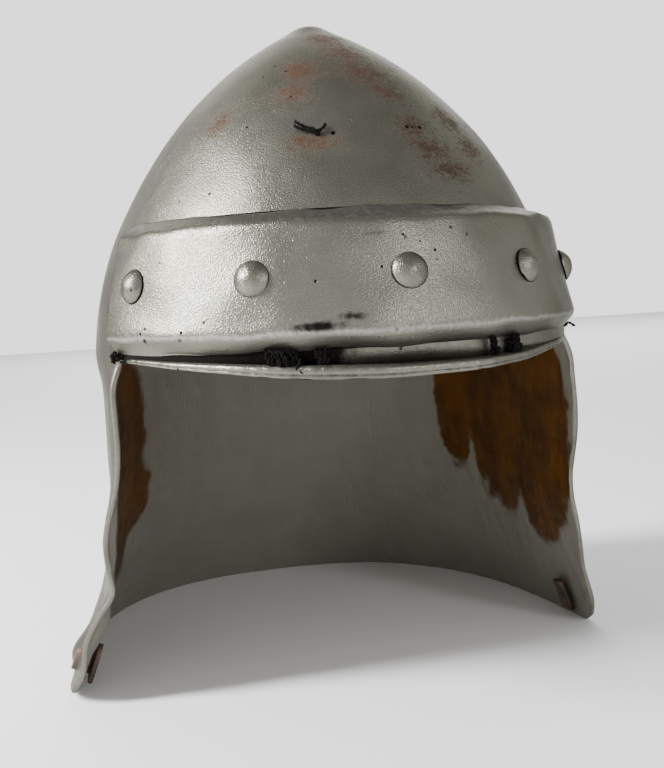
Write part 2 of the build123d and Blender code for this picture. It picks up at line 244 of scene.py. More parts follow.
def outline(z):
    """Centre Y, length ahead of it, length behind it and power of the shell's outline at height z."""
    share = (z - GUARD_BLENDED) / (GUARD_TOP - GUARD_BLENDED)
    below = np.maximum(0, BACK_FLARE_HEIGHT - z) / BACK_FLARE_HEIGHT
    guard_back = GUARD_BACK + BACK_FLARE * below**1.7
    skull_length = half_width(np.maximum(z, GUARD_BLENDED)) * SKULL_STRETCH
    centre = smooth_step(GUARD_CENTRE_Y, 0.0, share)
    ahead = smooth_step(GUARD_FRONT + GUARD_CENTRE_Y, skull_length, share)
    behind = smooth_step(guard_back - GUARD_CENTRE_Y, skull_length, share)
    power = smooth_step(GUARD_PLAN_POWER, SKULL_PLAN_POWER, share)
    return centre, ahead, behind, power


def off_front(angle):
    """How many degrees an angle is from the front, from 0 to 180."""
    return np.abs((angle + 180) % 360 - 180)


def shell_radius(angle, z):
    """Distance of the shell's outer surface from its centre line."""
    centre, ahead, behind, power = outline(z)
    turn = np.radians(angle)
    across = np.abs(np.sin(turn)) / half_width(z)
    along = np.abs(np.cos(turn)) / np.where(np.cos(turn) > 0, ahead, behind)
    radius = (across**power + along**power) ** (-1 / power)
    spread = EDGE_SPREAD * np.exp(-(((off_front(angle) - EDGE_SPREAD_ANGLE) / EDGE_SPREAD_REACH) ** 2))
    return radius + smooth_step(spread, 0.0, (z - GUARD_BLENDED) / (GUARD_TOP - GUARD_BLENDED))


def shell_point(angle, z, inset=0.0):
    """Point of the shell's outer surface, or inset below it."""
    angle, z = np.broadcast_arrays(np.asarray(angle, float), np.asarray(z, float))
    slope = half_width(z + 0.5) - half_width(z - 0.5)
    radius = shell_radius(angle, z) - inset * np.sqrt(1 + slope**2)
    turn = np.radians(angle)
    return np.stack([radius * np.sin(turn), outline(z)[0] - radius * np.cos(turn), z], -1)


def ellipse_radius(angle, width, length):
    """Distance of an ellipse from its centre, given half its width and half its length."""
    turn = np.radians(angle)
    return 1 / np.hypot(np.sin(turn) / width, np.cos(turn) / length)


def round_axis(angle, radius, z):
    """Point at that angle and distance from the helmet's axis."""
    turn = np.radians(angle)
    parts = np.broadcast_arrays(radius * np.sin(turn), -radius * np.cos(turn), z)
    return np.stack(parts, -1)


def ring_between(first, second, share):
    """Height, half width and half length of a ring part of the way from one to another."""
    return tuple(a + (b - a) * share for a, b in zip(first, second))


def band_face_point(angle, z, inset=0.0):
    """Point of the band's sloping face."""
    share = (z - BAND_LOWER_ARRIS[0]) / (BAND_UPPER_ARRIS[0] - BAND_LOWER_ARRIS[0])
    _, width, length = ring_between(BAND_LOWER_ARRIS, BAND_UPPER_ARRIS, share)
    return round_axis(angle, ellipse_radius(angle, width - inset, length - inset), z)


def circle(sides):
    """Angles of points all round a circle, in radians."""
    return np.linspace(0, 2 * math.pi, sides, endpoint=False)


def angle_of(points):
    """Angle of each point from the front."""
    return np.degrees(np.arctan2(points[:, 0], -points[:, 1]))


def unit(vectors):
    """The directions of vectors."""
    return vectors / np.maximum(np.linalg.norm(vectors, axis=-1, keepdims=True), 1e-9)


class Place:
    """A spot on a surface, with the directions round it, up it and out of it."""

    def __init__(self, surface, angle, z, inset=0.0):
        self.origin = surface(angle, z, inset)
        self.side = unit(surface(angle + 0.5, z, inset) - surface(angle - 0.5, z, inset))
        upwards = surface(angle, z + 0.5, inset) - surface(angle, z - 0.5, inset)
        self.out = unit(np.cross(self.side, upwards))
        self.up = np.cross(self.out, self.side)

    def at(self, side, up, out):
        """Points so far from the spot in those three directions."""
        side, up, out = (np.asarray(v, float)[..., None] for v in (side, up, out))
        return self.origin + side * self.side + up * self.up + out * self.out


def wander(points, size, seed):
    """Smooth irregular field of about -1 to 1 that varies over that size in millimetres."""
    source = np.random.default_rng(seed)
    waves = 8
    field = np.zeros(points.shape[:-1])
    for _ in range(waves):
        direction = unit(source.normal(size=3)) / (size * source.uniform(0.7, 1.5))
        field += np.sin(2 * math.pi * (points @ direction) + source.uniform(0, 2 * math.pi))
    return field / math.sqrt(waves)


def bump(value, middle, reach):
    """1 at the middle, falling to 0 beyond reach."""
    return np.exp(-(((value - middle) / reach) ** 2))


def through(knots, value):
    """Smooth curve through (value, result) knots."""
    places, results = np.array(knots, float).T
    slopes = np.gradient(results, places)
    value = np.clip(value, places[0], places[-1])
    k = np.clip(np.searchsorted(places, value) - 1, 0, len(places) - 2)
    step = places[k + 1] - places[k]
    t = (value - places[k]) / step
    return (
        (1 + 2 * t) * (1 - t) ** 2 * results[k]
        + t * (1 - t) ** 2 * step * slopes[k]
        + t * t * (3 - 2 * t) * results[k + 1]
        + t * t * (t - 1) * step * slopes[k + 1]
    )


def brow_line(angle, at_side, at_front):
    """Height of an edge of the brow rim, given at its sides and at the front."""
    return at_side + (at_front - at_side) * np.cos(np.radians(angle)) ** 2 + through(RIM_LIFT, angle)


# ---------------------------------------------------------------- meshes


def quads(numbers, wrap=False):
    """Four-cornered faces between the rows and columns of a table of vertex numbers."""
    numbers = np.asarray(numbers)
    if wrap:
        numbers = np.hstack([numbers, numbers[:, :1]])
    corners = (numbers[:-1, :-1], numbers[:-1, 1:], numbers[1:, 1:], numbers[1:, :-1])
    return np.stack(corners, -1).reshape(-1, 4).tolist()


def fan(numbers, middle):
    """Triangles from a closed row of vertices to one in the middle."""
    return [[a, b, middle] for a, b in zip(numbers, np.roll(numbers, -1))]


def closed_tube(rings):
    """Points and faces of a tube through rings of points, with both ends closed."""
    count, sides = rings.shape[:2]
    numbers = np.arange(count * sides).reshape(count, sides)
    points = np.vstack([rings.reshape(-1, 3), rings[0].mean(0), rings[-1].mean(0)])
    faces = quads(numbers, wrap=True)
    faces += fan(numbers[0][::-1], count * sides) + fan(numbers[-1], count * sides + 1)
    return points, faces


def closed_ring(rows):
    """Points and faces of a ring-shaped piece from rows of points that run all the way round it."""
    rows = np.asarray(rows)
    numbers = np.arange(rows.shape[0] * rows.shape[1]).reshape(rows.shape[:2])
    return rows.reshape(-1, 3), quads(np.vstack([numbers, numbers[:1]]), wrap=True)


def tube_mark(rows):
    """Values for the points of a closed tube from rows along it, with 0 at the middles of its ends."""
    return np.append(rows.T.ravel(), [0, 0])


def joined(parts):
    """One set of points and faces from several."""
    points, faces, first = [], [], 0
    for part_points, part_faces in parts:
        points.append(part_points)
        faces += [[number + first for number in face] for face in part_faces]
        first += len(part_points)
    return np.vstack(points), faces


def mesh_object(name, points, faces):
    """Object of a mesh from points in millimetres, its faces turned outwards."""
    mesh = bpy.data.meshes.new(name)
    mesh.from_pydata((points * MM).tolist(), [], faces)
    edit = bmesh.new()
    edit.from_mesh(mesh)
    bmesh.ops.recalc_face_normals(edit, faces=edit.faces)
    edit.to_mesh(mesh)
    edit.free()
    made = bpy.data.objects.new(name, mesh)
    bpy.context.collection.objects.link(made)
    return made


def make_piece(name, points, faces, materials, slot, nodes, body="helmet", marks=None, choose=None):
    """A piece of the helmet that stands in for CAD nodes.

    marks are named values for each point, for the materials; choose is the number of each face's material.
    """
    piece = mesh_object(name, points, faces)
    mesh = piece.data
    for mark, values in (marks or {}).items():
        attribute = mesh.attributes.new(mark, "FLOAT", "POINT")
        attribute.data.foreach_set("value", np.asarray(values, np.float32))
    for material in materials:
        mesh.materials.append(material)
    if choose is not None:
        mesh.polygons.foreach_set("material_index", np.asarray(choose, np.int32))
    mesh.shade_smooth()
    if body:
        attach(piece, body)
    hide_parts(*nodes)
    return piece


# ---------------------------------------------------------------- materials


# a Mix node has sockets for numbers, vectors and colours: these are the share, the two colours and the result
MIX_COLOUR_SOCKETS = (0, 6, 7)
MIX_COLOUR_RESULT = 2


class Paintwork:
    """A material under construction, with short names for the nodes that it is made of."""

    def __init__(self, name):
        self.material = bpy.data.materials.new(name)
        self.material.use_nodes = True
        self.nodes = self.material.node_tree.nodes
        self.links = self.material.node_tree.links
        self.shader = self.nodes["Principled BSDF"]
        self.place = self.add("TexCoord").outputs["Object"]

    def connect(self, socket, value):
        """Links a socket to another, or sets it to a number or a colour."""
        if isinstance(value, bpy.types.NodeSocket):
            self.links.new(value, socket)
        else:
            socket.default_value = (*value, 1.0) if socket.type == "RGBA" else value

    def add(self, kind, settings=(), **inputs):
        """New node of that kind, with its settings and the values of its inputs."""
        made = self.nodes.new("ShaderNode" + kind)
        for key, value in dict(settings).items():
            setattr(made, key, value)
        for key, value in inputs.items():
            self.connect(made.inputs[key.replace("_", " ")], value)
        return made

    def mark(self, name):
        """Value that the mesh carries at each point under that name."""
        return self.add("Attribute", {"attribute_name": name}).outputs["Fac"]

    def noise(self, size, detail=3.0, roughness=0.55, stretch=None):
        """Noise whose patches are about that size in millimetres."""
        place = self.place
        if stretch:
            place = self.add("Mapping", Vector=place, Scale=stretch).outputs["Vector"]
        made = self.add("TexNoise", Vector=place, Scale=1 / (size * MM), Detail=detail, Roughness=roughness)
        return made.outputs["Fac"]

    def cells(self, size):
        """Distance to the nearest of points scattered about that size apart in millimetres."""
        made = self.add("TexVoronoi", Vector=self.place, Scale=1 / (size * MM))
        return made.outputs["Distance"]

    def calculate(self, operation, *values):
        made = self.add("Math", {"operation": operation})
        for socket, value in zip(made.inputs, values):
            self.connect(socket, value)
        return made.outputs[0]

    def between(self, value, low, high, start=0.0, end=1.0):
        """start below low, end above high, and a smooth change between."""
        made = self.add("MapRange", {"interpolation_type": "SMOOTHSTEP"}, Value=value)
        for key, amount in (("From Min", low), ("From Max", high), ("To Min", start), ("To Max", end)):
            self.connect(made.inputs[key], amount)
        return made.outputs["Result"]

    def mix(self, share, low, high):
        """Mix of two colours."""
        made = self.add("Mix", {"data_type": "RGBA"})
        for socket, value in zip(MIX_COLOUR_SOCKETS, (share, low, high)):
            self.connect(made.inputs[socket], value)
        return made.outputs[MIX_COLOUR_RESULT]

    def bumps(self, height, depth, normal=None):
        """Bump of that depth in millimetres, over another one if there is a normal."""
        made = self.add("Bump", Height=height, Distance=depth * MM, Strength=1.0)
        if normal is not None:
            self.connect(made.inputs["Normal"], normal)
        return made.outputs["Normal"]

    def finish(self, **inputs):
        """The material, with those inputs of its shader set."""
        for key, value in inputs.items():
            self.connect(self.shader.inputs[key.replace("_", " ")], value)
        return self.material


ALUMINIUM = (0.200, 0.197, 0.165)
ALUMINIUM_DARK = (0.135, 0.131, 0.106)
ALUMINIUM_BRIGHT = (0.40, 0.40, 0.375)
EDGE_TINT = (0.32, 0.32, 0.30)
RUST = (0.050, 0.020, 0.010)
RUST_SPECKS = (1.0, 4.0)  # sizes
# near black, for grime and for painted shade
GRIME_AND_SHADE = (0.007, 0.006, 0.005)


def aluminium_paint(name, rusty=0.0, dull=0.0):
    """Worn aluminium paint with a fine grain. The mark for rust says where rust is. The mark for wear says
    where the paint is rubbed bright, and also where a highlight is painted on. The mark for grime says where
    the paint is dirty, and also where shade is painted dark.

    rusty is how fully rust hides the paint, and dull is how much rougher than bare metal the paint is.
    """
    m = Paintwork(name)
    cloud = m.noise(45, detail=4, roughness=0.5)
    speckle = m.noise(0.8, detail=2, roughness=0.8)
    colour = m.mix(m.between(cloud, 0.25, 0.8), ALUMINIUM_DARK, ALUMINIUM)
    colour = m.mix(m.between(speckle, 0.60, 0.76, 0, 0.55), colour, ALUMINIUM_BRIGHT)
    colour = m.mix(m.between(speckle, 0.40, 0.26, 0, 0.5), colour, ALUMINIUM_DARK)
    # brighter where the paint is rubbed, and where a highlight is painted on along the band's arrises and top
    # bevel
    worn_and_highlit = m.calculate("ADD", m.mark("wear_and_highlight"), m.noise(2.2, detail=4))
    colour = m.mix(m.between(worn_and_highlit, 0.85, 1.2, 0, 0.4), colour, ALUMINIUM_BRIGHT)
    rusted = 0.0
    if rusty:
        fine, coarse = (m.noise(size, detail=6, roughness=0.8, stretch=(1, 1, 2)) for size in RUST_SPECKS)
        ragged = m.calculate("MULTIPLY_ADD", m.mark("rust"), 0.35, m.calculate("ADD", fine, coarse))
        rusted = m.between(ragged, 1.17, 1.33, 0, rusty)
        colour = m.mix(rusted, colour, RUST)
    # a few pits, in some places only, and grime in them; the grime mark also paints shade dark in grooves,
    # creases, hollows and under the band
    pits = m.calculate("MULTIPLY", m.between(m.cells(7), 0.11, 0.07), m.between(m.noise(30), 0.5, 0.6))
    dirt_and_shade = m.calculate("MULTIPLY_ADD", m.noise(3, detail=5), 0.5, m.mark("grime_and_shade"))
    dirt_and_shade = m.calculate("MAXIMUM", m.between(dirt_and_shade, 0.5, 0.95), pits)
    colour = m.mix(dirt_and_shade, colour, GRIME_AND_SHADE)
    covered = m.calculate("MAXIMUM", dirt_and_shade, rusted)
    paint_rough = m.between(m.noise(7, detail=4), 0.3, 0.7, 0.28 + dull, 0.32 + dull)
    rough = m.calculate("MULTIPLY_ADD", covered, 0.35, paint_rough)
    metal = m.calculate("MULTIPLY_ADD", covered, -0.75, 0.88)
    shine = m.between(covered, 0, 1, 0.5, 0.08)
    grain = m.bumps(m.noise(0.6, detail=1, roughness=0.5), 0.2)
    ripples = m.bumps(m.noise(14, detail=1, roughness=0.4), 0.16, normal=grain)
    pitted = m.bumps(m.calculate("SUBTRACT", 1.0, pits), 0.6, normal=ripples)
    m.finish(Base_Color=colour, Metallic=metal, Roughness=rough, Normal=pitted)
    return m.finish(Specular_IOR_Level=shine, Specular_Tint=EDGE_TINT)


RESIN = (0.078, 0.028, 0.001)
RESIN_THICK = (0.045, 0.015, 0.001)
INNER_DARK = (0.150, 0.145, 0.116)
INNER_PALE = (0.165, 0.160, 0.130)


def inner_skin():
    """The shell's bare inside, brown resin where the mark "resin" is set."""
    m = Paintwork("inner_skin")
    colour = m.mix(m.between(m.noise(24, detail=6), 0.35, 0.68), INNER_DARK, INNER_PALE)
    runny = m.calculate("ADD", m.mark("resin"), m.calculate("MULTIPLY", m.noise(9, detail=4), 0.35))
    wet = m.between(runny, 0.62, 0.72)
    resin = m.mix(m.between(m.noise(18, detail=2, stretch=(1, 1, 0.6)), 0.38, 0.62), RESIN, RESIN_THICK)
    colour = m.mix(wet, colour, resin)
    rough = m.between(wet, 0.0, 1.0, 0.62, 0.3)
    strands = m.bumps(m.noise(1.6, detail=3, stretch=(1, 1, 0.25)), 0.35)
    return m.finish(Base_Color=colour, Roughness=rough, Normal=strands)


DARK_LEATHER = ((0.030, 0.013, 0.007), (0.085, 0.042, 0.022))
TAN_LEATHER = ((0.11, 0.055, 0.025), (0.24, 0.14, 0.07))


def leather(name, dark, pale):
    """Creased leather with pores, mottled between two colours."""
    m = Paintwork(name)
    colour = m.mix(m.between(m.noise(7, detail=5), 0.35, 0.7), dark, pale)
    pores = m.between(m.cells(1.1), 0.0, 0.5)
    colour = m.mix(m.between(pores, 0.0, 0.35, 0.5, 0.0), colour, dark)
    creases = m.bumps(m.noise(2.4, detail=4, stretch=(1, 1, 0.4)), 0.3)
    rough = m.between(pores, 0, 1, 0.72, 0.5)
    return m.finish(Base_Color=colour, Roughness=rough, Normal=m.bumps(pores, 0.12, normal=creases))


THREAD_BLACK = (0.002, 0.002, 0.002)
THREAD_GREY = (0.010, 0.009, 0.008)


def thread_material():
    """Black thread with matt fibres."""
    m = Paintwork("thread")
    fibres = m.noise(0.25, detail=3, stretch=(1, 1, 3))
    colour = m.mix(m.between(fibres, 0.3, 0.7), THREAD_BLACK, THREAD_GREY)
    return m.finish(Base_Color=colour, Roughness=1.0, Specular_IOR_Level=0.08, Normal=m.bumps(fibres, 0.06))


COTTON = (0.40, 0.35, 0.27)
COTTON_SOILED = (0.26, 0.22, 0.16)
COTTON_SHADE = (0.12, 0.10, 0.07)  # between the threads of the weave
WEAVE_SCALES = {"Z": 500.0, "DIAGONAL": 420.0}


def cloth_material():
    """Soiled cotton with a visible weave."""
    m = Paintwork("quilted_cotton")
    weaves = []
    for direction, scale in WEAVE_SCALES.items():
        wave = m.add("TexWave", {"bands_direction": direction}, Vector=m.place, Scale=scale, Distortion=1.5)
        weaves.append(wave.outputs["Fac"])
    cloth = m.calculate("MULTIPLY", *weaves)
    colour = m.mix(m.between(m.noise(18, detail=5), 0.35, 0.7), COTTON_SOILED, COTTON)
    colour = m.mix(m.between(cloth, 0, 0.6, 0.35, 0), colour, COTTON_SHADE)
    return m.finish(Base_Color=colour, Roughness=0.95, Sheen_Weight=0.3, Normal=m.bumps(cloth, 0.15))


shell_paint = aluminium_paint("shell_paint", rusty=0.9, dull=0.03)
band_paint = aluminium_paint("band_paint")
inside = inner_skin()
dark_leather = leather("strap_leather", *DARK_LEATHER)
tan_leather = leather("sweatband_leather", *TAN_LEATHER)
thread_fibre = thread_material()
cotton = cloth_material()

# ---------------------------------------------------------------- shell

BROW_CORNER_REACH = 8.0
THREAD_RADIUS = 0.75
TIE_HOLE_RADIUS = 1.05
TIE_HOLE_SPACING = 6.5
TIES = {
    "right_front": Place(shell_point, -13.6, 248.3),
    "left_front": Place(shell_point, 12.9, 250.6),
    "right_back": Place(shell_point, -160.0, 250.0),
    "left_back": Place(shell_point, 160.0, 250.0),
}
SLOT_Y = 0.0
SLOT_Z = 13.0
SLOT_LENGTH = 11.0
SLOT_WIDTH = 2.6
HOLE_SIDES = 16
CUTTER_REACH = 4 * WALL
SHARP_ANGLE = 60.0


def lean_at(place):
    """The sideways shift of the moulding at a place."""
    return np.array([float(through(LEAN, place.origin[2])), 0, 0])


def cutter(place, across, up):
    """Tube of that outline through the wall at a place."""
    return closed_tube(np.array([place.at(across, up, out) for out in (-CUTTER_REACH, CUTTER_REACH)]))


def tie_holes():
    """Cutters for the two thread holes of each tie."""
    turns = circle(HOLE_SIDES)
    for place in TIES.values():
        for middle in (-TIE_HOLE_SPACING / 2, TIE_HOLE_SPACING / 2):
            across = middle + TIE_HOLE_RADIUS * np.cos(turns)
            points, faces = cutter(place, across, TIE_HOLE_RADIUS * np.sin(turns))
            yield points + lean_at(place), faces


def slot_place(side):
    """The middle of a chin strap's slot."""
    off_centre = math.degrees(math.asin((SLOT_Y - GUARD_CENTRE_Y) / float(half_width(SLOT_Z))))
    return Place(shell_point, side * (90 + off_centre), SLOT_Z)


def strap_slots():
    """Cutters for the two long slots of the chin strap, with round ends."""
    turns = circle(HOLE_SIDES)
    upper_end = np.sign(np.sin(turns + 0.01))
    up = SLOT_WIDTH / 2 * np.sin(turns) + upper_end * (SLOT_LENGTH - SLOT_WIDTH) / 2
    return [cutter(slot_place(side), SLOT_WIDTH / 2 * np.cos(turns), up) for side in (-1, 1)]


def drill(piece, cutters):
    """Cuts holes through a piece and keeps its shading smooth round them."""
    drill_bits = mesh_object("cutter", *joined(cutters))
    modifier = piece.modifiers.new("holes", "BOOLEAN")
    modifier.operation = "DIFFERENCE"
    modifier.solver = "EXACT"
    modifier.object = drill_bits
    bpy.context.view_layer.update()
    cut = piece.evaluated_get(bpy.context.evaluated_depsgraph_get())
    cut_mesh = bpy.data.meshes.new_from_object(cut)
    piece.modifiers.clear()
    piece.data = cut_mesh
    bpy.data.objects.remove(drill_bits)
    cut_mesh.shade_smooth()
    cut_mesh.set_sharp_from_angle(angle=math.radians(SHARP_ANGLE))


EDGE_SECTION = ((0.14, 0.5), (0.5, 0.75), (0.86, 0.5))  # share of the wall, and how far the edge stands out
GROOVE_END = 66.0
GROOVE_HEIGHT = 158.0
GROOVE_HALF = 6.0
# brown rust on the paint: angle, height, reach round the helmet and reach up and down
RUST_SPOTS = (
    (0, 300, 13, 6),
    (4, 291, 14, 8),
    (8, 279, 16, 9),
    (12, 268, 11, 7),
    (-20, 281, 12, 9),
    (-23, 269, 11, 7),
    (-49, 258, 8, 8),
    (-16, 245, 15, 6),
    (13, 251, 12, 8),
    (16, 241, 13, 7),
    (20, 232, 15, 7),
    (32, 256, 11, 9),
    (33, 242, 9, 8),
    (75, 268, 16, 14),
    (150, 262, 20, 20),
    (-130, 240, 16, 16),
)
# dried resin inside: angle, height, reach round the helmet and reach up and down
RESIN_SPOTS = (
    (86, 110, 34, 76),
    (108, 110, 34, 68),
    (126, 118, 18, 52),
    (90, 70, 24, 36),
    (-118, 116, 44, 58),
    (-124, 75, 42, 28),
    (-116, 45, 34, 38),
    (-116, 140, 36, 34),
)


def front_edge_y(z):
    """Where the guard ends towards the face, its lower corner rounded."""
    corner = CORNER_RADIUS - np.sqrt(np.maximum(0, CORNER_RADIUS**2 - np.maximum(0, CORNER_RADIUS - z) ** 2))
    return through(FACE_EDGE, z) + corner


def edge_angle(z):
    """Angle at which the shell has its front edge at height z."""
    angles = np.linspace(50, 110, 601)
    edge = front_edge_y(np.array(z))
    return np.interp(edge, shell_point(angles, z)[:, 1], angles)


def skull_rows():
    """Heights of the skull's rows from the brow up, evenly spaced along its curve."""
    heights = np.linspace(BROW_SIDE_HEIGHT, LAST_SKULL_ROW, 2000)
    along = np.concatenate([[0], np.cumsum(np.hypot(np.diff(half_width(heights)), np.diff(heights)))])
    return np.interp(np.linspace(0, along[-1], round(along[-1] / ROW_STEP)), along, heights)


def shell_grid():
    """Outer points of the skull's rows and of the guard's, from the top down."""
    start = edge_angle(BROW_SIDE_HEIGHT)
    back = np.linspace(start, 360 - start, GUARD_COLUMNS + 1)
    brow = np.linspace(360 - start, 360 + start, BROW_COLUMNS + 1)[1:-1]
    angles = np.concatenate([back, brow])
    foot = np.full(angles.shape, BROW_SIDE_HEIGHT)
    corner_share = (start - off_front(brow)) / BROW_CORNER_REACH
    foot[len(back) :] = smooth_step(BROW_SIDE_HEIGHT, brow_line(brow - 360, *RIM_TOP), corner_share)
    rise = (skull_rows()[::-1] - BROW_SIDE_HEIGHT) / (LAST_SKULL_ROW - BROW_SIDE_HEIGHT)
    heights = foot + rise[:, None] * (LAST_SKULL_ROW - foot)
    last_row = shell_point(angles, LAST_SKULL_ROW)
    tip = []
    for z, width in TIP_ROWS[::-1]:
        row = last_row * width / half_width(LAST_SKULL_ROW)
        row[:, 2] = z
        tip.append(row)
    skull = np.concatenate([np.array(tip), shell_point(angles, heights)])
    corner = CORNER_RADIUS * (1 - np.sin(np.radians(np.linspace(0, 90, 12))))
    straight_rows = round((BROW_SIDE_HEIGHT - CORNER_RADIUS) / ROW_STEP)
    straight = np.linspace(BROW_SIDE_HEIGHT, CORNER_RADIUS, straight_rows)
    guard = []
    for z in np.concatenate([straight[1:-1], corner]):
        edge = edge_angle(z)
        guard.append(shell_point(np.linspace(edge, 360 - edge, GUARD_COLUMNS + 1), z))
    return skull, np.array(guard)


def surface_normals(points, wrap):
    """Outward normals of a grid of points whose rows run downwards and columns run with the angle."""
    if wrap:
        round_it = np.roll(points, -1, axis=1) - np.roll(points, 1, axis=1)
    else:
        round_it = np.gradient(points, axis=1)
    return unit(np.cross(np.gradient(points, axis=0), round_it))


def spots(points, places):
    """Soft patches at (angle, height, reach round, reach up), each with its strength last if it isn't 1."""
    total = np.zeros(len(points))
    radius = np.hypot(points[:, 0], points[:, 1])
    for spot_angle, z, wide, tall, *strength in places:
        across = np.radians((angle_of(points) - spot_angle + 180) % 360 - 180) * radius
        patch = bump(across, 0, wide) * bump(points[:, 2], z, tall)
        total = np.maximum(total, patch * (strength[0] if strength else 1))
    return total


def outward_push(points):
    """How far the moulding lies outside its even shape: its skin waves, and its front edges curl out."""
    x, y, z = np.moveaxis(points, -1, 0)
    waves = sum(height * wander(points, size, seed) for seed, (height, size) in enumerate(SKIN_WAVES, 1))
    near_edge = bump(y, front_edge_y(z), EDGE_CURL_REACH)
    right = through(RIGHT_EDGE_CURL, z) * near_edge
    for height, middle_y, reach_y, middle_z, reach_z in CORNER_SHAPES:
        right += height * bump(y, middle_y, reach_y) * bump(z, middle_z, reach_z)
    left = LEFT_EDGE_CURL * near_edge * bump(z, 90, 40)
    return waves * np.clip((LAST_SKULL_ROW - z) / 30, 0, 1) + smooth_step(left, right, -x / 60)


def bend(points, normals):
    """Points of the uneven moulding: pushed outwards, leaning a little, and with one lower corner lifted."""
    x, y, z = np.moveaxis(points, -1, 0)
    shift = np.zeros(points.shape)
    shift[:, 0] = through(LEAN, z)
    shift[:, 2] = CORNER_LIFT * smooth_step(0, 1, -x / 60) * bump(y, -8, 22) * smooth_step(1, 0, z / 25)
    outward = unit(normals * np.array([1, 1, 0]))
    return points + shift + outward * outward_push(points)[:, None]


def edge_loop(skull_numbers, guard_numbers):
    """The free edge: along the brow, down one front edge, round the lower rim and up the other."""
    parts = (
        skull_numbers[-1, GUARD_COLUMNS + 1 :],
        guard_numbers[:-1, 0],
        guard_numbers[-1, :-1],
        guard_numbers[:0:-1, -1],
        guard_numbers[0, -1:],
    )
    return np.concatenate(parts)


def edge_rows(edge, normals):
    """Rows of points across the free edge, rounding it off unevenly."""
    along = unit(np.roll(edge, -1, axis=0) - np.roll(edge, 1, axis=0))
    away = unit(np.cross(along, normals))
    if away[0, 2] > 0:
        away = -away
    uneven = 1 + 0.35 * wander(edge, 6, 3)[:, None]
    return [edge - normals * depth * WALL + away * reach * uneven for depth, reach in EDGE_SECTION]


def groove_shade(points):
    """Painted shade on the shell in the groove under the band, darkest on the wearer's right."""
    angle = angle_of(points)
    in_groove = (np.abs(angle) < GROOVE_END) * (np.abs(points[:, 2] - GROOVE_HEIGHT) < GROOVE_HALF)
    return smooth_step(1, 0.3, (angle + 22) / 16) * in_groove


def build_shell():
    """The shell: an outer and an inner skin joined round the free edge, drilled for thread and straps."""
    skull, guard = shell_grid()
    seam = skull[-1:, : GUARD_COLUMNS + 1]
    guard_normals = surface_normals(np.concatenate([seam, guard]), wrap=False)[1:]
    normals = np.vstack([surface_normals(skull, wrap=True).reshape(-1, 3), guard_normals.reshape(-1, 3)])
    outer = bend(np.vstack([skull.reshape(-1, 3), guard.reshape(-1, 3)]), normals)
    inner = outer - normals * WALL + normals * 0.35 * wander(outer, 9, 4)[:, None]
    count = len(outer)

    skull_numbers = np.arange(skull.shape[0] * skull.shape[1]).reshape(skull.shape[:2])
    guard_numbers = skull_numbers.size + np.arange(guard.shape[0] * guard.shape[1]).reshape(guard.shape[:2])
    guard_numbers = np.vstack([skull_numbers[-1:, : GUARD_COLUMNS + 1], guard_numbers])
    loop = edge_loop(skull_numbers, guard_numbers)
    rows = edge_rows(outer[loop], normals[loop])
    row_numbers = 2 * count + np.arange(len(rows) * len(loop)).reshape(-1, len(loop))
    points = np.vstack([outer, inner, *rows, [[0, 0, TIP_HEIGHT], [0, 0, INNER_TOP + 1]]])
    points[:, 2] = np.maximum(points[:, 2], 0)
    tip, inner_tip = len(points) - 2, len(points) - 1

    inner_start = int(np.argmax(skull[:, :, 2].min(axis=1) < INNER_TOP))
    painted = quads(skull_numbers, wrap=True) + quads(guard_numbers)
    bare = quads(skull_numbers[inner_start:] + count, wrap=True) + quads(guard_numbers + count)
    edge = quads(np.vstack([loop, row_numbers, loop + count]), wrap=True) + fan(skull_numbers[0], tip)
    bare_tip = fan(skull_numbers[inner_start] + count, inner_tip)
    faces = painted + bare + edge + bare_tip
    choose = np.repeat((0, 1, 0, 1), [len(part) for part in (painted, bare, edge, bare_tip)])

    wear_and_highlight = np.zeros(len(points))
    wear_and_highlight[loop] = 0.4
    wear_and_highlight[row_numbers] = 0.3
    # painted shade in the groove under the band
    grime_and_shade = groove_shade(points)
    grime_and_shade[loop + count] = 0
    used = np.unique(np.concatenate(faces))
    renumber = np.zeros(len(points), int)
    renumber[used] = np.arange(len(used))
    faces = [renumber[face].tolist() for face in faces]
    points = points[used]
    marks = {
        "rust": spots(points, RUST_SPOTS),
        "resin": spots(points, RESIN_SPOTS),
        "wear_and_highlight": wear_and_highlight[used],
        "grime_and_shade": grime_and_shade[used],
    }
    skins = [shell_paint, inside]
    shell = make_piece("shell", points, faces, skins, "shell", ["helmet_shell"], marks=marks, choose=choose)
    drill(shell, [*tie_holes(), *strap_slots()])


build_shell()

# ---------------------------------------------------------------- brow band

BAND_COLUMN_STEP = 0.4
BAND_STANDOFF = 0.5
BAND_SINK = 0.3  # how far its inner rows lie in the shell
FACE_ROWS = 36
BEVEL_ROWS = (0.7, 0.86, 0.98)
ARRIS_ROUNDING = 3.2
FOOT_ROUNDING = 0.9
FOOT_WEAR = 0.2
# the lower arris gets a painted highlight, and the upper arris and top bevel get painted lightening, over
# their wear
BEVEL_WEAR_AND_HIGHLIGHT = 0.6
LOWER_ARRIS_WEAR_AND_HIGHLIGHT = [0.1, 0.4, 0.7, 0.4, 0.1]
UPPER_ARRIS_WEAR_AND_HIGHLIGHT = [0.05, 0.15, 0.3, 0.4, 0.5]
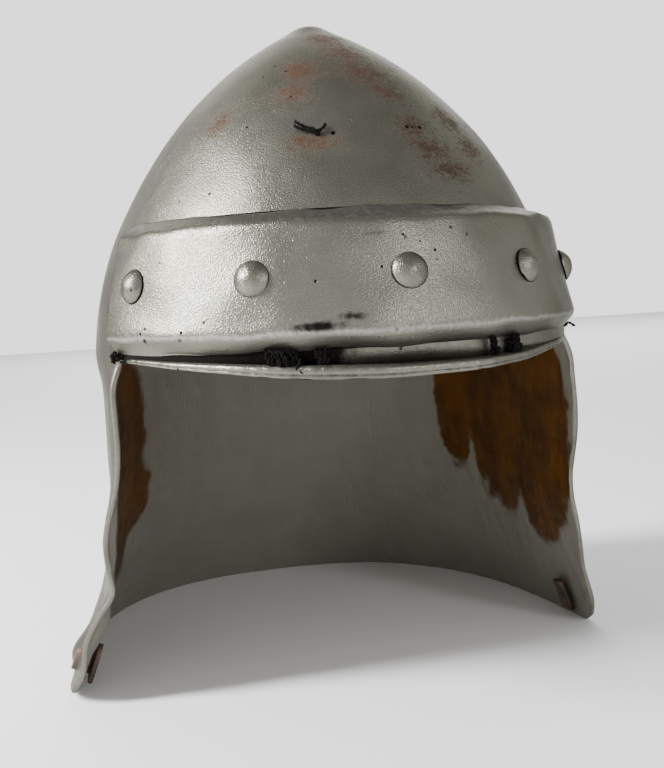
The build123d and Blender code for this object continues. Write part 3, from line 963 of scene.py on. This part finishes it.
# smudges, scratches and nicks, and a painted shadow beside the right side rivet (the last): angle, height,
# reach round the band, reach up and down, and strength
BAND_MARKS_AND_SHADOW = (
    (-16.8, 170.2, 16, 3.0, 0.70),
    (-11.0, 173.5, 9, 3.0, 0.64),
    (-5.6, 204.6, 7, 1.8, 0.55),
    (-1.7, 208.5, 0.9, 2.2, 0.50),
    (-0.8, 205.0, 0.9, 2.2, 0.50),
    (-0.1, 202.6, 1.0, 0.9, 0.90),
    (12.8, 202.9, 1.0, 0.9, 0.80),
    (-53.4, 202.0, 1.8, 0.9, 0.60),
    (-49.8, 198.5, 1.1, 1.1, 0.70),
    (-52.9, 167.0, 1.6, 1.4, 0.80),
    (-43.4, 167.0, 1.6, 1.4, 0.80),
    # painted shadow cast by the right side rivet
    (-55.0, 189.0, 5.0, 7.0, 0.40),
)


def rounded_ring(before, corner, after, reach=ARRIS_ROUNDING):
    """Five rings in place of a corner, on a smooth curve from one side to the other."""
    near, far = (reach / math.dist(corner, ring) for ring in (before, after))
    first, last = ring_between(corner, before, near), ring_between(corner, after, far)
    shares = np.linspace(0, 1, 5)
    return [ring_between(ring_between(first, corner, t), ring_between(corner, last, t), t) for t in shares]


def band_rings():
    """Outer rings of the band from the bottom up, and how worn each is, with a painted highlight along the
    lower arris and painted lightening over the upper arris and top bevel.
    """
    inner_bottom = (BAND_BOTTOM[0], BAND_BOTTOM[1] - BAND_WALL, BAND_BOTTOM[2] - BAND_WALL)
    top_half = float(half_width(BAND_TOP_HEIGHT))
    top = (BAND_TOP_HEIGHT, top_half, top_half * SKULL_STRETCH)
    rings = rounded_ring(inner_bottom, BAND_BOTTOM, BAND_LOWER_ARRIS, FOOT_ROUNDING)
    rings += rounded_ring(BAND_BOTTOM, BAND_LOWER_ARRIS, BAND_UPPER_ARRIS)
    face_shares = np.linspace(0.1, 0.9, FACE_ROWS)
    rings += [ring_between(BAND_LOWER_ARRIS, BAND_UPPER_ARRIS, share) for share in face_shares]
    rings += rounded_ring(BAND_LOWER_ARRIS, BAND_UPPER_ARRIS, top)
    rings += [ring_between(BAND_UPPER_ARRIS, top, share) for share in BEVEL_ROWS]
    wear_and_highlight = [FOOT_WEAR] * 5 + LOWER_ARRIS_WEAR_AND_HIGHLIGHT + [0.0] * FACE_ROWS + UPPER_ARRIS_WEAR_AND_HIGHLIGHT
    return rings, wear_and_highlight + [BEVEL_WEAR_AND_HIGHLIGHT] * len(BEVEL_ROWS)


def band_outside(angles, ring):
    """Row of points round the outside of the band, which runs down to the shell at its two ends."""
    z, width, length = ring
    taper = np.clip((np.abs(angles) - BAND_FACE_END) / (BAND_FOOT_END - BAND_FACE_END), 0, 1)
    skin = shell_radius(angles, max(z, GUARD_TOP)) + BAND_STANDOFF
    radius = np.maximum(ellipse_radius(angles, width, length), skin)
    radius = radius + (skin - radius) * taper
    row = round_axis(angles, radius, z)
    sway, rise = 0.3 * wander(row, 30, 11), 0.45 * wander(row, 22, 12)
    return round_axis(angles, radius + sway * (1 - taper), z + rise * (1 - taper))


def band_inside(angles, z, ring):
    """Row of points inside the band: on the shell, or on a ring of its hollow, which closes at the ends."""
    closing = np.clip((np.abs(angles) - BAND_SOLID_END) / (BAND_FACE_END - BAND_SOLID_END), 0, 1)
    skin = shell_radius(angles, max(z, GUARD_TOP)) - BAND_SINK
    if ring is None:
        return round_axis(angles, skin, z)
    radius = ellipse_radius(angles, ring[1] - BAND_WALL, ring[2] - BAND_WALL)
    return round_axis(angles, np.maximum(radius + (skin - radius) * closing, skin), z)


def build_band():
    """The raised band round the brow, hollow behind its face."""
    rings, wear_and_highlight = band_rings()
    angles = np.arange(-BAND_FOOT_END, BAND_FOOT_END + BAND_COLUMN_STEP / 2, BAND_COLUMN_STEP)
    inner = (
        (BAND_TOP_HEIGHT, None),
        (BAND_HOLLOW_TOP, None),
        (BAND_HOLLOW_TOP, BAND_UPPER_ARRIS),
        (BAND_LOWER_ARRIS[0], BAND_LOWER_ARRIS),
        (BAND_BOTTOM[0], BAND_BOTTOM),
    )
    rows = [band_outside(angles, ring) for ring in rings]
    rows += [band_inside(angles, z, ring) for z, ring in inner]
    points, faces = closed_tube(np.array(rows).transpose(1, 0, 2))
    wear_and_highlight = np.array(wear_and_highlight + [0.0] * len(inner))[:, None] * np.ones(len(angles))
    # painted shade: dark lines in the creases at the face's ends and along the bottom edge and the top where
    # it meets the skull, with some dirt there, and darkness inside the hollow
    grime_and_shade = np.tile(0.7 * bump(np.abs(angles), BAND_FACE_END, 0.5), (len(rows), 1))
    grime_and_shade[[0, len(rings) - 1]] += 0.9
    grime_and_shade[len(rings) :] = 0.8
    marks = {"wear_and_highlight": tube_mark(wear_and_highlight), "grime_and_shade": np.maximum(tube_mark(grime_and_shade), spots(points, BAND_MARKS_AND_SHADOW))}
    make_piece("brow_band_skin", points, faces, [band_paint], "band", ["brow_band"], marks=marks)


build_band()

# ---------------------------------------------------------------- brow rim

RIM_COLUMNS = 480
# the rim's section from the skull outwards and back: distance in from its outline, and depth as a share
RIM_SECTION = (
    (2.6, 0.0),
    (1.4, 0.02),
    (0.55, 0.12),
    (0.1, 0.28),
    (0.0, 0.42),
    (0.2, 0.56),
    (0.75, 0.64),
    (0.55, 0.72),
    (0.5, 0.9),
    (0.85, 0.98),
    (1.6, 1.0),
)
RIM_FULL_THICKNESS = 3.0
RIM_DEPTH = 3.0  # how far in its two back rows lie at least
RIM_SEAT_HEIGHT = 157.0
# wear, and darkening, on the rows of the section and on the two rows behind it: painted shade next to the
# groove under the band and in the step below the bead, and some grime lower down
RIM_WEAR = [0.0] * 3 + [0.35] * 3 + [0.0] * 7
RIM_SHADE_AND_GRIME = [0.5] * 2 + [0.0] * 4 + [0.45] * 2 + [0.2] * 5
RIM_LOWER_LIP = 9  # its row in the section
# cracks along the lower lip: angle and reach in degrees
RIM_CRACKS = ((-34.0, 0.9), (-27.0, 1.2), (-20.5, 2.4), (-10.5, 2.0), (13.0, 0.8))


def rim_angles():
    """Angles of the rim's columns, from where one front edge of the guard begins to the other."""
    angles = np.linspace(0, 100, RIM_COLUMNS)
    outer = round_axis(angles, ellipse_radius(angles, RIM_HALF_WIDTH, RIM_HALF_LENGTH), 0)
    end = np.interp(FACE_EDGE_TOP_Y - RIM_END_GAP, outer[:, 1], angles)
    return np.linspace(-end, end, RIM_COLUMNS)


def build_rim():
    """The rolled rim under the band, from guard edge to guard edge."""
    angles = rim_angles()
    outline_radius = ellipse_radius(angles, RIM_HALF_WIDTH, RIM_HALF_LENGTH)
    outer = round_axis(angles, outline_radius, 0)
    top = brow_line(angles, *RIM_TOP) + 0.2 * wander(outer, 30, 21)
    thickness = brow_line(angles, *RIM_TOP) - brow_line(angles, *RIM_FOOT) + through(RIM_SAG, angles)
    rough = 0.25 * wander(outer, 14, 22) + 0.12 * wander(outer, 4, 23)
    rows = []
    for inwards, share in RIM_SECTION:
        radius = outline_radius - inwards * np.minimum(1, thickness / RIM_FULL_THICKNESS) + rough
        rows.append(round_axis(angles, radius, top - thickness * share))
    back = np.minimum(shell_radius(angles, RIM_SEAT_HEIGHT) - WALL, outline_radius - RIM_DEPTH)
    rows += [round_axis(angles, back, height) for height in (top - thickness, top)]
    points, faces = closed_tube(np.array(rows).transpose(1, 0, 2))
    wear_and_highlight = np.array(RIM_WEAR)[:, None] * np.ones(RIM_COLUMNS)
    # painted shade in the groove and the step, grime lower down, and dark cracks
    grime_and_shade = np.array(RIM_SHADE_AND_GRIME)[:, None] * np.ones(RIM_COLUMNS)
    for place, reach in RIM_CRACKS:
        grime_and_shade[RIM_LOWER_LIP] = np.maximum(grime_and_shade[RIM_LOWER_LIP], 1.5 * bump(angles, place, reach))
    marks = {"wear_and_highlight": tube_mark(wear_and_highlight), "grime_and_shade": tube_mark(grime_and_shade)}
    make_piece("brow_rim_roll", points, faces, [band_paint], "rim", ["brow_rim"], marks=marks)


build_rim()

# ---------------------------------------------------------------- rivets and washers

# radius and height of the dome's outline, and how dark it is painted there: painted shade and dirt round its
# foot, where it meets the band
DOME_PROFILE = (
    (0.01, 4.4, 0.0),
    (1.6, 4.3, 0.0),
    (3.2, 3.85, 0.0),
    (4.7, 3.05, 0.0),
    (5.9, 2.1, 0.0),
    (6.8, 1.15, 0.1),
    (7.25, 0.55, 0.45),
    (7.4, 0.1, 1.0),
    (7.3, -0.3, 1.0),
    (5.5, -0.4, 1.0),
    (2.0, -0.4, 1.0),
)
# a riveted tail: radius, and distance past the washer
TAIL_PROFILE = ((2.0, 0.0), (2.6, 0.1), (2.9, 0.6), (2.5, 1.1), (0.01, 1.2))
WASHER_HALF = 0.5
# a washer's section: radius, and height from its middle
WASHER_PROFILE = (
    (2.2, -0.4),
    (2.2, 0.4),
    (2.5, WASHER_HALF),
    (5.2, WASHER_HALF),
    (5.45, 0.3),
    (5.45, -0.3),
    (5.2, -WASHER_HALF),
    (2.5, -WASHER_HALF),
)
TURNED_SIDES = 48
WORN_RINGS = 4  # of the dome, from its top


def turned(profile, place):
    """Rings of points of a piece turned about the line out of a place."""
    turns = circle(TURNED_SIDES)
    return np.array([place.at(r * np.cos(turns), r * np.sin(turns), z) for r, z in profile])


def build_rivet(name, place, seat):
    """A domed rivet whose tail is spread over a washer that lies at the seat."""
    profile = [(radius, height) for radius, height, _ in DOME_PROFILE]
    profile += [(radius, seat - WASHER_HALF - depth) for radius, depth in TAIL_PROFILE]
    rings = turned(profile, place)
    rings = rings + 0.12 * wander(rings, 5, 31)[..., None] * place.out
    points, faces = closed_tube(rings)
    grime_and_shade, wear_and_highlight = np.zeros(len(points)), np.zeros(len(points))
    # painted shade and dirt round the dome's foot
    grime_and_shade[: len(DOME_PROFILE) * TURNED_SIDES] = np.repeat([shade_and_dirt for _, _, shade_and_dirt in DOME_PROFILE], TURNED_SIDES)
    wear_and_highlight[: WORN_RINGS * TURNED_SIDES] = 0.15
    marks = {"grime_and_shade": grime_and_shade, "wear_and_highlight": wear_and_highlight}
    make_piece(f"dome_{name}", points, faces, [band_paint], "rivet", [f"rivet_{name}"], marks=marks)


def build_washer(name, place, seat):
    """The washer that a rivet is spread over, inside the sweatband."""
    points, faces = closed_ring(turned([(radius, height + seat) for radius, height in WASHER_PROFILE], place))
    marks = {"grime_and_shade": np.full(len(points), 0.2), "wear_and_highlight": np.full(len(points), 0.1)}
    make_piece(f"burr_{name}", points, faces, [band_paint], "washer", [f"washer_{name}"], marks=marks)


def build_rivets():
    for name, angle in RIVET_ANGLES.items():
        place = Place(band_face_point, angle, RIVET_HEIGHT)
        low, high = (np.array(corner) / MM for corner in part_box(f"washer_{name}"))
        seat = float(((low + high) / 2 - place.origin) @ place.out)
        build_rivet(name, place, seat)
        build_washer(name, place, seat)


build_rivets()

# ---------------------------------------------------------------- thread

PLY_SIDES = 7
PLY_OFFSET = 0.46 * THREAD_RADIUS
PLY_RADIUS = 0.56 * THREAD_RADIUS
THREAD_STEP = 0.4
TWIST_LENGTH = 4.2


def smooth_path(knots, step):
    """Points at about that spacing on a curve through the knots."""
    along = np.concatenate([[0], np.cumsum(np.linalg.norm(np.diff(knots, axis=0), axis=1))])
    places = np.linspace(0, along[-1], max(8, round(along[-1] / step)))
    return np.column_stack([through(np.column_stack([along, knots[:, axis]]), places) for axis in range(3)])


def frames_along(path):
    """Two directions square to the path at each of its points, turning as little as they can."""
    ahead = unit(np.gradient(path, axis=0))
    start = np.eye(3)[np.argmin(np.abs(ahead[0]))]
    first = []
    for direction in ahead:
        start = unit(start - (start @ direction) * direction)
        first.append(start)
    first = np.array(first)
    return first, np.cross(ahead, first)


def twisted_thread(knots, seed=0):
    """Two plies laid round each other along a path through the knots."""
    path = smooth_path(knots, THREAD_STEP)
    first, second = frames_along(path)
    turn = 2 * math.pi * np.arange(len(path)) * THREAD_STEP / TWIST_LENGTH + seed
    sides = circle(PLY_SIDES)[:, None]
    ring = np.cos(sides) * first[:, None] + np.sin(sides) * second[:, None]
    plies = []
    for ply in (0, math.pi):
        off_path = np.cos(turn + ply)[:, None] * first + np.sin(turn + ply)[:, None] * second
        middle = path + PLY_OFFSET * off_path
        thick = PLY_RADIUS * (1 + 0.12 * wander(middle, 2.5, seed + 7))
        plies.append(closed_tube(middle[:, None] + thick[:, None, None] * ring))
    return joined(plies)


def knot_loop(place, side):
    """Points of a small closed turn of thread, for a knot on the surface."""
    turns = np.linspace(0, 2 * math.pi, 9)
    return place.at(side + np.cos(turns), 0.2 + 0.7 * np.sin(turns), 1.1 + 0.4 * np.sin(2 * turns))


TIE_LEG = -7.0  # where a tie ends in the quilted cap, from the skin
# loose ends of the front tie beside its hole: sideways, up and out, in millimetres
TIE_ENDS = (
    ((0, 0, TIE_LEG), (0, 0, 0.2), (-1.2, 1.4, 1.3), (-4.4, 3.2, 1.0), (-7.2, 5.2, 1.1), (-9.0, 7.0, 0.9)),
    ((0.4, 0, TIE_LEG), (0.4, -0.3, 0.3), (-1.6, 0.2, 1.5), (-4.6, 1.9, 1), (-7.4, 2.9, 1), (-9.4, 4.6, 0.9)),
    ((-0.3, 0, TIE_LEG), (-0.3, 0.3, 0.4), (1.4, 0.9, 1.4), (3.0, 2.6, 1.3), (3.6, 4.4, 1.0)),
)


# the other ties run across between their holes: how high above the skin
TIE_HEIGHTS = {"left_front": -0.5, "right_back": 0.75, "left_back": 0.75}
# sideways as a share of half the spacing, and depth below the highest part
TIE_SHOULDERS = ((-1, 0.6), (-0.6, 0.0), (0.6, 0.0), (1, 0.6))


def make_threads(name, parts, nodes):
    """A piece of thread from the points and faces of its parts."""
    make_piece(name, *joined(parts), [thread_fibre], "thread", nodes)


def build_ties():
    """The threads that hold the cap, through pairs of holes in the skull."""
    half = TIE_HOLE_SPACING / 2
    for name, place in TIES.items():
        if name in TIE_HEIGHTS:
            over = [(share * half, TIE_HEIGHTS[name] - drop) for share, drop in TIE_SHOULDERS]
            side, out = np.array([(-half, TIE_LEG), *over, (half, TIE_LEG)]).T
            paths = {0: place.at(side, 0, out)}
        else:
            ends = [np.array(end, float).T for end in TIE_ENDS]
            paths = {seed: place.at(side - half, up, out) for seed, (side, up, out) in enumerate(ends)}
            paths[5] = knot_loop(place, -half)
        parts = [twisted_thread(path + lean_at(place), seed) for seed, path in paths.items()]
        make_threads(f"thread_{name}", parts, [f"tie_{name}"])


# ---------------------------------------------------------------- lacing

LACING_PITCH = 1.5
LACING_UNTIDINESS = (0.35, 0.3, 0.25)  # round the rim in degrees, up and out
KNOTTED = 0.8  # lacings at least so untidy are knotted over
KNOT_OUTSET = 0.9
KNOT_UNTIDY = 1.6
# angle from the front, number of turns, distance outside the band's bottom edge, and how untidy it is
LACINGS = {
    "right_corner": (-66.0, 4, 2.6, 0.9),
    "right_front": (-23.6, 9, 1.8, 0.8),
    "front": (-16.4, 3, 1.8, 0.3),
    "left_front": (17.4, 2, 1.8, 0.3),
    "left_middle": (23.2, 4, 1.8, 0.7),
    "left_corner": (65.0, 3, 2.6, 0.5),
}
TURN_POINTS = 10
# loose ends of a lacing from its last turn: round the rim, out and up, in millimetres
LACING_ENDS = {
    "left_corner": ((0, 0, 0), (2.5, 1.6, 0.6), (4.5, 3.0, -0.2), (5.5, 4.6, -1.2)),
    "right_front": ((0, 0.6, -1.5), (-1.5, 1.2, -3.6), (0.8, 1.3, -5.2), (2.6, 1.2, -4.0)),
}


def lacing_path(angle, turns, outset, untidy, seed):
    """A thread wound round the slot between the band and the rim."""
    source = np.random.default_rng(seed)
    count = turns * TURN_POINTS + 1
    turn = np.linspace(0, 2 * math.pi * turns, count)
    ring = (BAND_BOTTOM[1] + outset, BAND_BOTTOM[2] + outset)
    step = math.degrees(LACING_PITCH / ring[1])
    sway, rise, swing = (untidy * amount * source.normal(size=count) for amount in LACING_UNTIDINESS)
    angles = angle + (np.linspace(0, turns, count) - turns / 2) * step + sway
    low = brow_line(angles, *RIM_TOP) - 0.6
    high = BAND_BOTTOM[0] + 0.4
    height = (low + high) / 2 + (high - low) / 2 * np.sin(turn) + rise
    radius = ellipse_radius(angles, *ring) + np.cos(turn) + swing
    return round_axis(angles, radius, height)


def build_lacings():
    """Groups of turns of thread between the band and the rim, some knotted over and some with a loose end."""
    for seed, (name, (angle, turns, outset, untidy)) in enumerate(LACINGS.items()):
        path = lacing_path(angle, turns, outset, untidy, seed)
        parts = [twisted_thread(path, seed)]
        if untidy >= KNOTTED:
            knot = lacing_path(angle, turns // 2, outset + KNOT_OUTSET, KNOT_UNTIDY, seed + 20)
            parts.append(twisted_thread(knot, seed + 1))
        if name in LACING_ENDS:
            side = unit(round_axis(angle + 1, 1, 0) - round_axis(angle - 1, 1, 0))
            directions = np.array([side, round_axis(angle, 1, 0), [0, 0, 1]])
            parts.append(twisted_thread(path[-1] + np.array(LACING_ENDS[name]) @ directions, seed + 2))
        make_threads(f"wound_{name}", parts, [f"lacing_{name}"])


build_ties()
build_lacings()

# ---------------------------------------------------------------- chin strap stubs

STRAP_THICKNESS = 2.4
TONGUE_LENGTH = 9.5
TONGUE_HEIGHT = 19.0
TONGUE_RAISE = 1.5
TONGUE_CLEARANCE = 1.2
STRAP_STANDOUT = 0.9  # how far its outer end stands out of the slot
BEND_LENGTH = 2.0
# one half of its section: how far up it as a share of half its height, and across its thickness
STRAP_SECTION = ((1, 0.55), (0.96, 1), (0.5, 1), (-0.5, 1), (-0.96, 1), (-1, 0.55))


def strap_line(depth, end_out):
    """The strap's middle line: how far forward, how far out from the skin, half its height, and its rise."""
    root = SLOT_LENGTH / 2
    tip = TONGUE_HEIGHT / 2
    return np.array(
        [
            (0.0, end_out, root - 0.3, 0.0),
            (0.0, -WALL * 0.5, root - 0.3, 0.0),
            (0.0, -WALL, root - 0.2, 0.0),
            (0.3, 0.5 - depth, root + 1.2, TONGUE_RAISE * 0.5),
            (1.6, -depth, tip - 0.8, TONGUE_RAISE),
            (4.5, -depth - 0.3, tip, TONGUE_RAISE),
            (7.5, -depth, tip, TONGUE_RAISE),
            (TONGUE_LENGTH, 0.2 - depth, tip - 0.7, TONGUE_RAISE),
        ]
    )


def build_straps():
    """Each stub is one piece of leather that comes in through its slot and folds forward along the shell."""
    depth = WALL + TONGUE_CLEARANCE + STRAP_THICKNESS / 2
    up, thick = np.array(STRAP_SECTION + tuple((-up, -thick) for up, thick in STRAP_SECTION)).T
    thick = thick * STRAP_THICKNESS / 2 * 0.95
    for name, side in (("left", 1), ("right", -1)):
        place = slot_place(side)
        line = strap_line(depth, STRAP_STANDOUT + float(outward_push(place.origin[None])[0]))
        along = unit(np.gradient(line[:, :2], axis=0))
        rings = []
        for (forward, out, tall, raised), (ahead, outward) in zip(line, along):
            # across the strap's thickness is square to its line in plan
            across = -side * (forward - thick * outward)
            rings.append(place.at(across, raised + up * tall, out + thick * ahead))
        points, faces = closed_tube(np.array(rings))
        points = points + 0.18 * wander(points, 5, 41)[:, None] * place.out
        nodes = [f"strap_root_{name}", f"strap_tongue_{name}"]
        stub = make_piece(f"stub_{name}", points, faces, [dark_leather], "strap", nodes, body=None)
        start, end = place.at(0, 0, -WALL), place.at(-side * BEND_LENGTH, 0, -depth)
        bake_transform(stub)


build_straps()

# ---------------------------------------------------------------- sweatband

LEATHER = 2.0
SWEATBAND_SKIN = 2.9  # its outer face below the shell's skin
SWEATBAND_EDGES = (172.0, 208.0)
SWEATBAND_COLUMNS = 240
SWEATBAND_SHIFT = np.array([0.9, 0, 0])  # with the moulding's lean
STITCH_PITCH = 4.0
STITCH_LENGTH = 2.9
STITCH_RADIUS = 0.42
STITCH_SIDES = 6
STITCH_TAPER = (0.35, 0.9, 1, 0.9, 0.35)
STITCH_INSET = 3.2


def stitch(place, along, across):
    """One stitch of thread lying on an inner face."""
    reach = np.linspace(-STITCH_LENGTH / 2, STITCH_LENGTH / 2, len(STITCH_TAPER))
    lift = 0.1 - 0.25 * np.cos(reach / STITCH_LENGTH * math.pi)
    middle = place.origin + reach[:, None] * along + lift[:, None] * place.out
    sides = circle(STITCH_SIDES)[:, None]
    ring = STITCH_RADIUS * (np.cos(sides) * across + np.sin(sides) * place.out)
    return closed_tube(middle[:, None] + np.array(STITCH_TAPER)[:, None, None] * ring)


def build_sweatband():
    """The leather ring inside the brow, stitched along both its edges."""
    angles = np.linspace(0, 360, SWEATBAND_COLUMNS, endpoint=False)
    low, high = SWEATBAND_EDGES
    outer = [(z, SWEATBAND_SKIN) for z in (low + 0.6, *np.linspace(low + 3, high - 3, 9), high - 0.6)]
    inner = [(z, SWEATBAND_SKIN + LEATHER) for z, _ in outer[::-1]]
    edge = SWEATBAND_SKIN + LEATHER / 2
    section = outer + [(high, edge)] + inner + [(low, edge)]
    points, faces = closed_ring([shell_point(angles, z, inset) for z, inset in section])
    points[:, 2] += 0.35 * wander(points, 26, 51)
    points = points + SWEATBAND_SHIFT
    make_piece("sweatband_leather", points, faces, [tan_leather], "sweatband", ["sweatband"])

    parts = []
    for z in (low + STITCH_INSET, high - STITCH_INSET):
        girth = 2 * math.pi * float(half_width(z))
        for angle in np.arange(0, 360, 360 * STITCH_PITCH / girth):
            place = Place(shell_point, angle, z, SWEATBAND_SKIN + LEATHER)
            place.origin = place.origin + SWEATBAND_SHIFT
            parts.append(stitch(place, place.side, place.up))
    make_threads("sweatband_stitches", parts, [])


build_sweatband()

# ---------------------------------------------------------------- quilted cap

CAP_MIDDLE = 9.1  # the middle of its padding, below the shell's skin
CAP_EDGES = (214.0, 282.5)
CAP_CROWN = 286.5
CAP_ROWS = 26
CAP_CROWN_ROWS = (0.2, 0.4, 0.6, 0.8)  # as shares of the last row's size
CAP_CHANNELS = 12
CAP_COLUMNS = 14 * CAP_CHANNELS
CAP_SEAM_HALF = 0.9
CAP_START_HALF = 2.5
CAP_PRESSURE = 4.0
CAP_SWELL = 1.5  # how far any point of it may move
CAP_FRAMES = 20
CAP_STITCH_PITCH = 4.8
BINDING_HALF = (2.9, 4.4)  # half its thickness and height
BINDING_OVERLAP = 0.5  # how far it hangs below the cap
BINDING_SIDES = 16


def swell(piece, sewn):
    """Blows a piece up with cloth simulation, held at its sewn vertices, as far as its stuffing goes."""
    scene = bpy.context.scene
    piece.vertex_groups.new(name="sewn").add(sewn, 1.0, "REPLACE")
    cloth = piece.modifiers.new("stuffing", "CLOTH")
    cloth.settings.use_pressure = True
    cloth.settings.uniform_pressure_force = CAP_PRESSURE
    cloth.settings.vertex_group_mass = "sewn"
    cloth.settings.effector_weights.gravity = 0
    cloth.point_cache.frame_end = CAP_FRAMES
    for number in range(1, CAP_FRAMES + 1):
        scene.frame_set(number)
    flat, puffed = np.empty(len(piece.data.vertices) * 3), np.empty(len(piece.data.vertices) * 3)
    piece.data.vertices.foreach_get("co", flat)
    piece.evaluated_get(bpy.context.evaluated_depsgraph_get()).data.vertices.foreach_get("co", puffed)
    flat, moved = flat.reshape(-1, 3), (puffed - flat).reshape(-1, 3)
    length = np.linalg.norm(moved, axis=1, keepdims=True)
    moved *= np.minimum(1, CAP_SWELL * MM / np.maximum(length, 1e-9))
    piece.modifiers.remove(cloth)
    piece.data.vertices.foreach_set("co", (flat + moved).ravel())
    piece.data.update()
    scene.frame_set(1)


def cap_middle(angles):
    """Rows of points in the middle of the cap's padding, from the crown down."""
    heights = np.linspace(CAP_EDGES[1], CAP_EDGES[0], CAP_ROWS)[:, None]
    body = shell_point(angles, heights, CAP_MIDDLE)
    crown = []
    for share in CAP_CROWN_ROWS:
        row = body[0] * share
        row[:, 2] = CAP_CROWN - (CAP_CROWN - CAP_EDGES[1]) * share**3
        crown.append(row)
    return np.concatenate([np.array(crown), body])


def build_cap():
    """The quilted cap: two layers of cloth sewn together along its channels and stuffed between the seams."""
    angles = np.linspace(0, 360, CAP_COLUMNS, endpoint=False)
    middle = cap_middle(angles)
    normals = surface_normals(middle, wrap=True)
    off_seam = np.abs(np.sin(np.radians(angles) * CAP_CHANNELS / 2)) ** 0.6
    fullness = np.ones(len(middle))
    fullness[: len(CAP_CROWN_ROWS)] = CAP_CROWN_ROWS
    fullness[-1] = 0.6
    half = CAP_SEAM_HALF + (CAP_START_HALF - CAP_SEAM_HALF) * off_seam * fullness[:, None]
    outer, inner = middle + normals * half[..., None], middle - normals * half[..., None]
    numbers = np.arange(middle.shape[0] * CAP_COLUMNS).reshape(-1, CAP_COLUMNS)
    count = numbers.size
    top = [0, 0, CAP_CROWN]
    points = np.vstack([outer.reshape(-1, 3), inner.reshape(-1, 3), [top], [top]])
    points[-2:, 2] += (CAP_SEAM_HALF, -CAP_SEAM_HALF)
    faces = quads(np.vstack([numbers, numbers[::-1] + count]), wrap=True)
    faces += fan(numbers[0], 2 * count) + fan(numbers[0] + count, 2 * count + 1)
    cap = make_piece("cap_quilting", points, faces, [cotton], "lining", ["liner_cap"])
    seams = numbers[:, :: CAP_COLUMNS // CAP_CHANNELS].ravel()
    sewn = np.concatenate([seams, numbers[:2].ravel(), numbers[-2:].ravel()])
    swell(cap, np.concatenate([sewn, sewn + count, [2 * count, 2 * count + 1]]).tolist())


def build_cap_trim():
    """The leather binding round the cap's lower edge, and the stitches along its seams."""
    angles = np.linspace(0, 360, CAP_COLUMNS, endpoint=False)
    turns = circle(BINDING_SIDES)[:, None]
    heights = CAP_EDGES[0] - BINDING_OVERLAP + BINDING_HALF[1] * (1 + np.sin(turns))
    rows = shell_point(angles, heights, CAP_MIDDLE - BINDING_HALF[0] * np.cos(turns))
    make_piece("cap_binding", *closed_ring(rows), [tan_leather], "sweatband", [])
    parts = []
    for angle in np.arange(CAP_CHANNELS) * 360 / CAP_CHANNELS:
        for z in np.arange(CAP_EDGES[0] + 2 * BINDING_HALF[1], CAP_EDGES[1], CAP_STITCH_PITCH):
            place = Place(shell_point, angle, z, CAP_MIDDLE + CAP_SEAM_HALF)
            parts.append(stitch(place, place.up, place.side))
    make_threads("cap_stitches", parts, [])


build_cap()
build_cap_trim()

# ---------------------------------------------------------------- floor and light


FLOOR_HALF = 4000.0
PAPER_WHITE = (0.86, 0.86, 0.86)


def build_stage():
    """A square of white paper to stand on."""
    corners = FLOOR_HALF * np.array([(-1, -1, 0), (1, -1, 0), (1, 1, 0), (-1, 1, 0)])
    floor = mesh_object("floor", corners, [[0, 1, 2, 3]])
    floor.data.materials.append(Paintwork("paper").finish(Base_Color=PAPER_WHITE, Roughness=0.9))
    floor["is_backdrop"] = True


def soft_light(name, place, target, size, power):
    """A rectangular light that faces the target."""
    data = bpy.data.lights.new(name, "AREA")
    data.shape = "RECTANGLE"
    data.size, data.size_y = size
    data.energy = power
    light = bpy.data.objects.new(name, data)
    bpy.context.collection.objects.link(light)
    light.location = place
    light.rotation_euler = (Vector(place) - Vector(target)).to_track_quat("Z", "Y").to_euler()


build_stage()
soft_light("window", (-1.30, 0.02, 0.95), (0, 0, 0.19), (0.28, 0.8), 78.0)
soft_light("lamp", (0.66, -1.38, 0.62), (0, -0.1, 0.17), (0.3, 0.5), 5.5)
soft_light("far floor", (1.0, 2.6, 1.8), (1.0, 2.4, 0), (3.0, 2.0), 80.0)

# brightness of the surroundings: from, to, and the values there, by how directly they lie behind the helmet
# and by how high they are
ROOM_DEPTH = (0.80, 0.90, 1.05, 1.9)
ROOM_RISE = (0.35, 1.00, 1.0, 0.30)


def build_room():
    """A pale wall behind the helmet, and a dimmer room with a dark ceiling round it."""
    world = bpy.data.worlds.new("room")
    world.use_nodes = True
    nodes, links = world.node_tree.nodes, world.node_tree.links
    direction = nodes.new("ShaderNodeTexCoord").outputs["Generated"]
    azimuth = math.radians(CAMERA_AZIMUTH)
    product = nodes.new("ShaderNodeMath")
    product.operation = "MULTIPLY"
    ahead = (-math.sin(azimuth), math.cos(azimuth), 0)
    for socket, axis, stops in zip(product.inputs, (ahead, (0, 0, 1)), (ROOM_DEPTH, ROOM_RISE)):
        share = nodes.new("ShaderNodeVectorMath")
        share.operation = "DOT_PRODUCT"
        links.new(direction, share.inputs[0])
        share.inputs[1].default_value = axis
        ramp = nodes.new("ShaderNodeMapRange")
        ramp.interpolation_type = "SMOOTHSTEP"
        links.new(share.outputs["Value"], ramp.inputs["Value"])
        for key, amount in zip(("From Min", "From Max", "To Min", "To Max"), stops):
            ramp.inputs[key].default_value = amount
        links.new(ramp.outputs["Result"], socket)
    links.new(product.outputs[0], nodes["Background"].inputs["Strength"])
    nodes["Background"].inputs["Color"].default_value = (1, 1, 1, 1)
    bpy.context.scene.world = world


build_room()

boxes = {"cad": cad_box, "visual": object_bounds()}
{name: [list(corner) for corner in box] for name, box in boxes.items()}
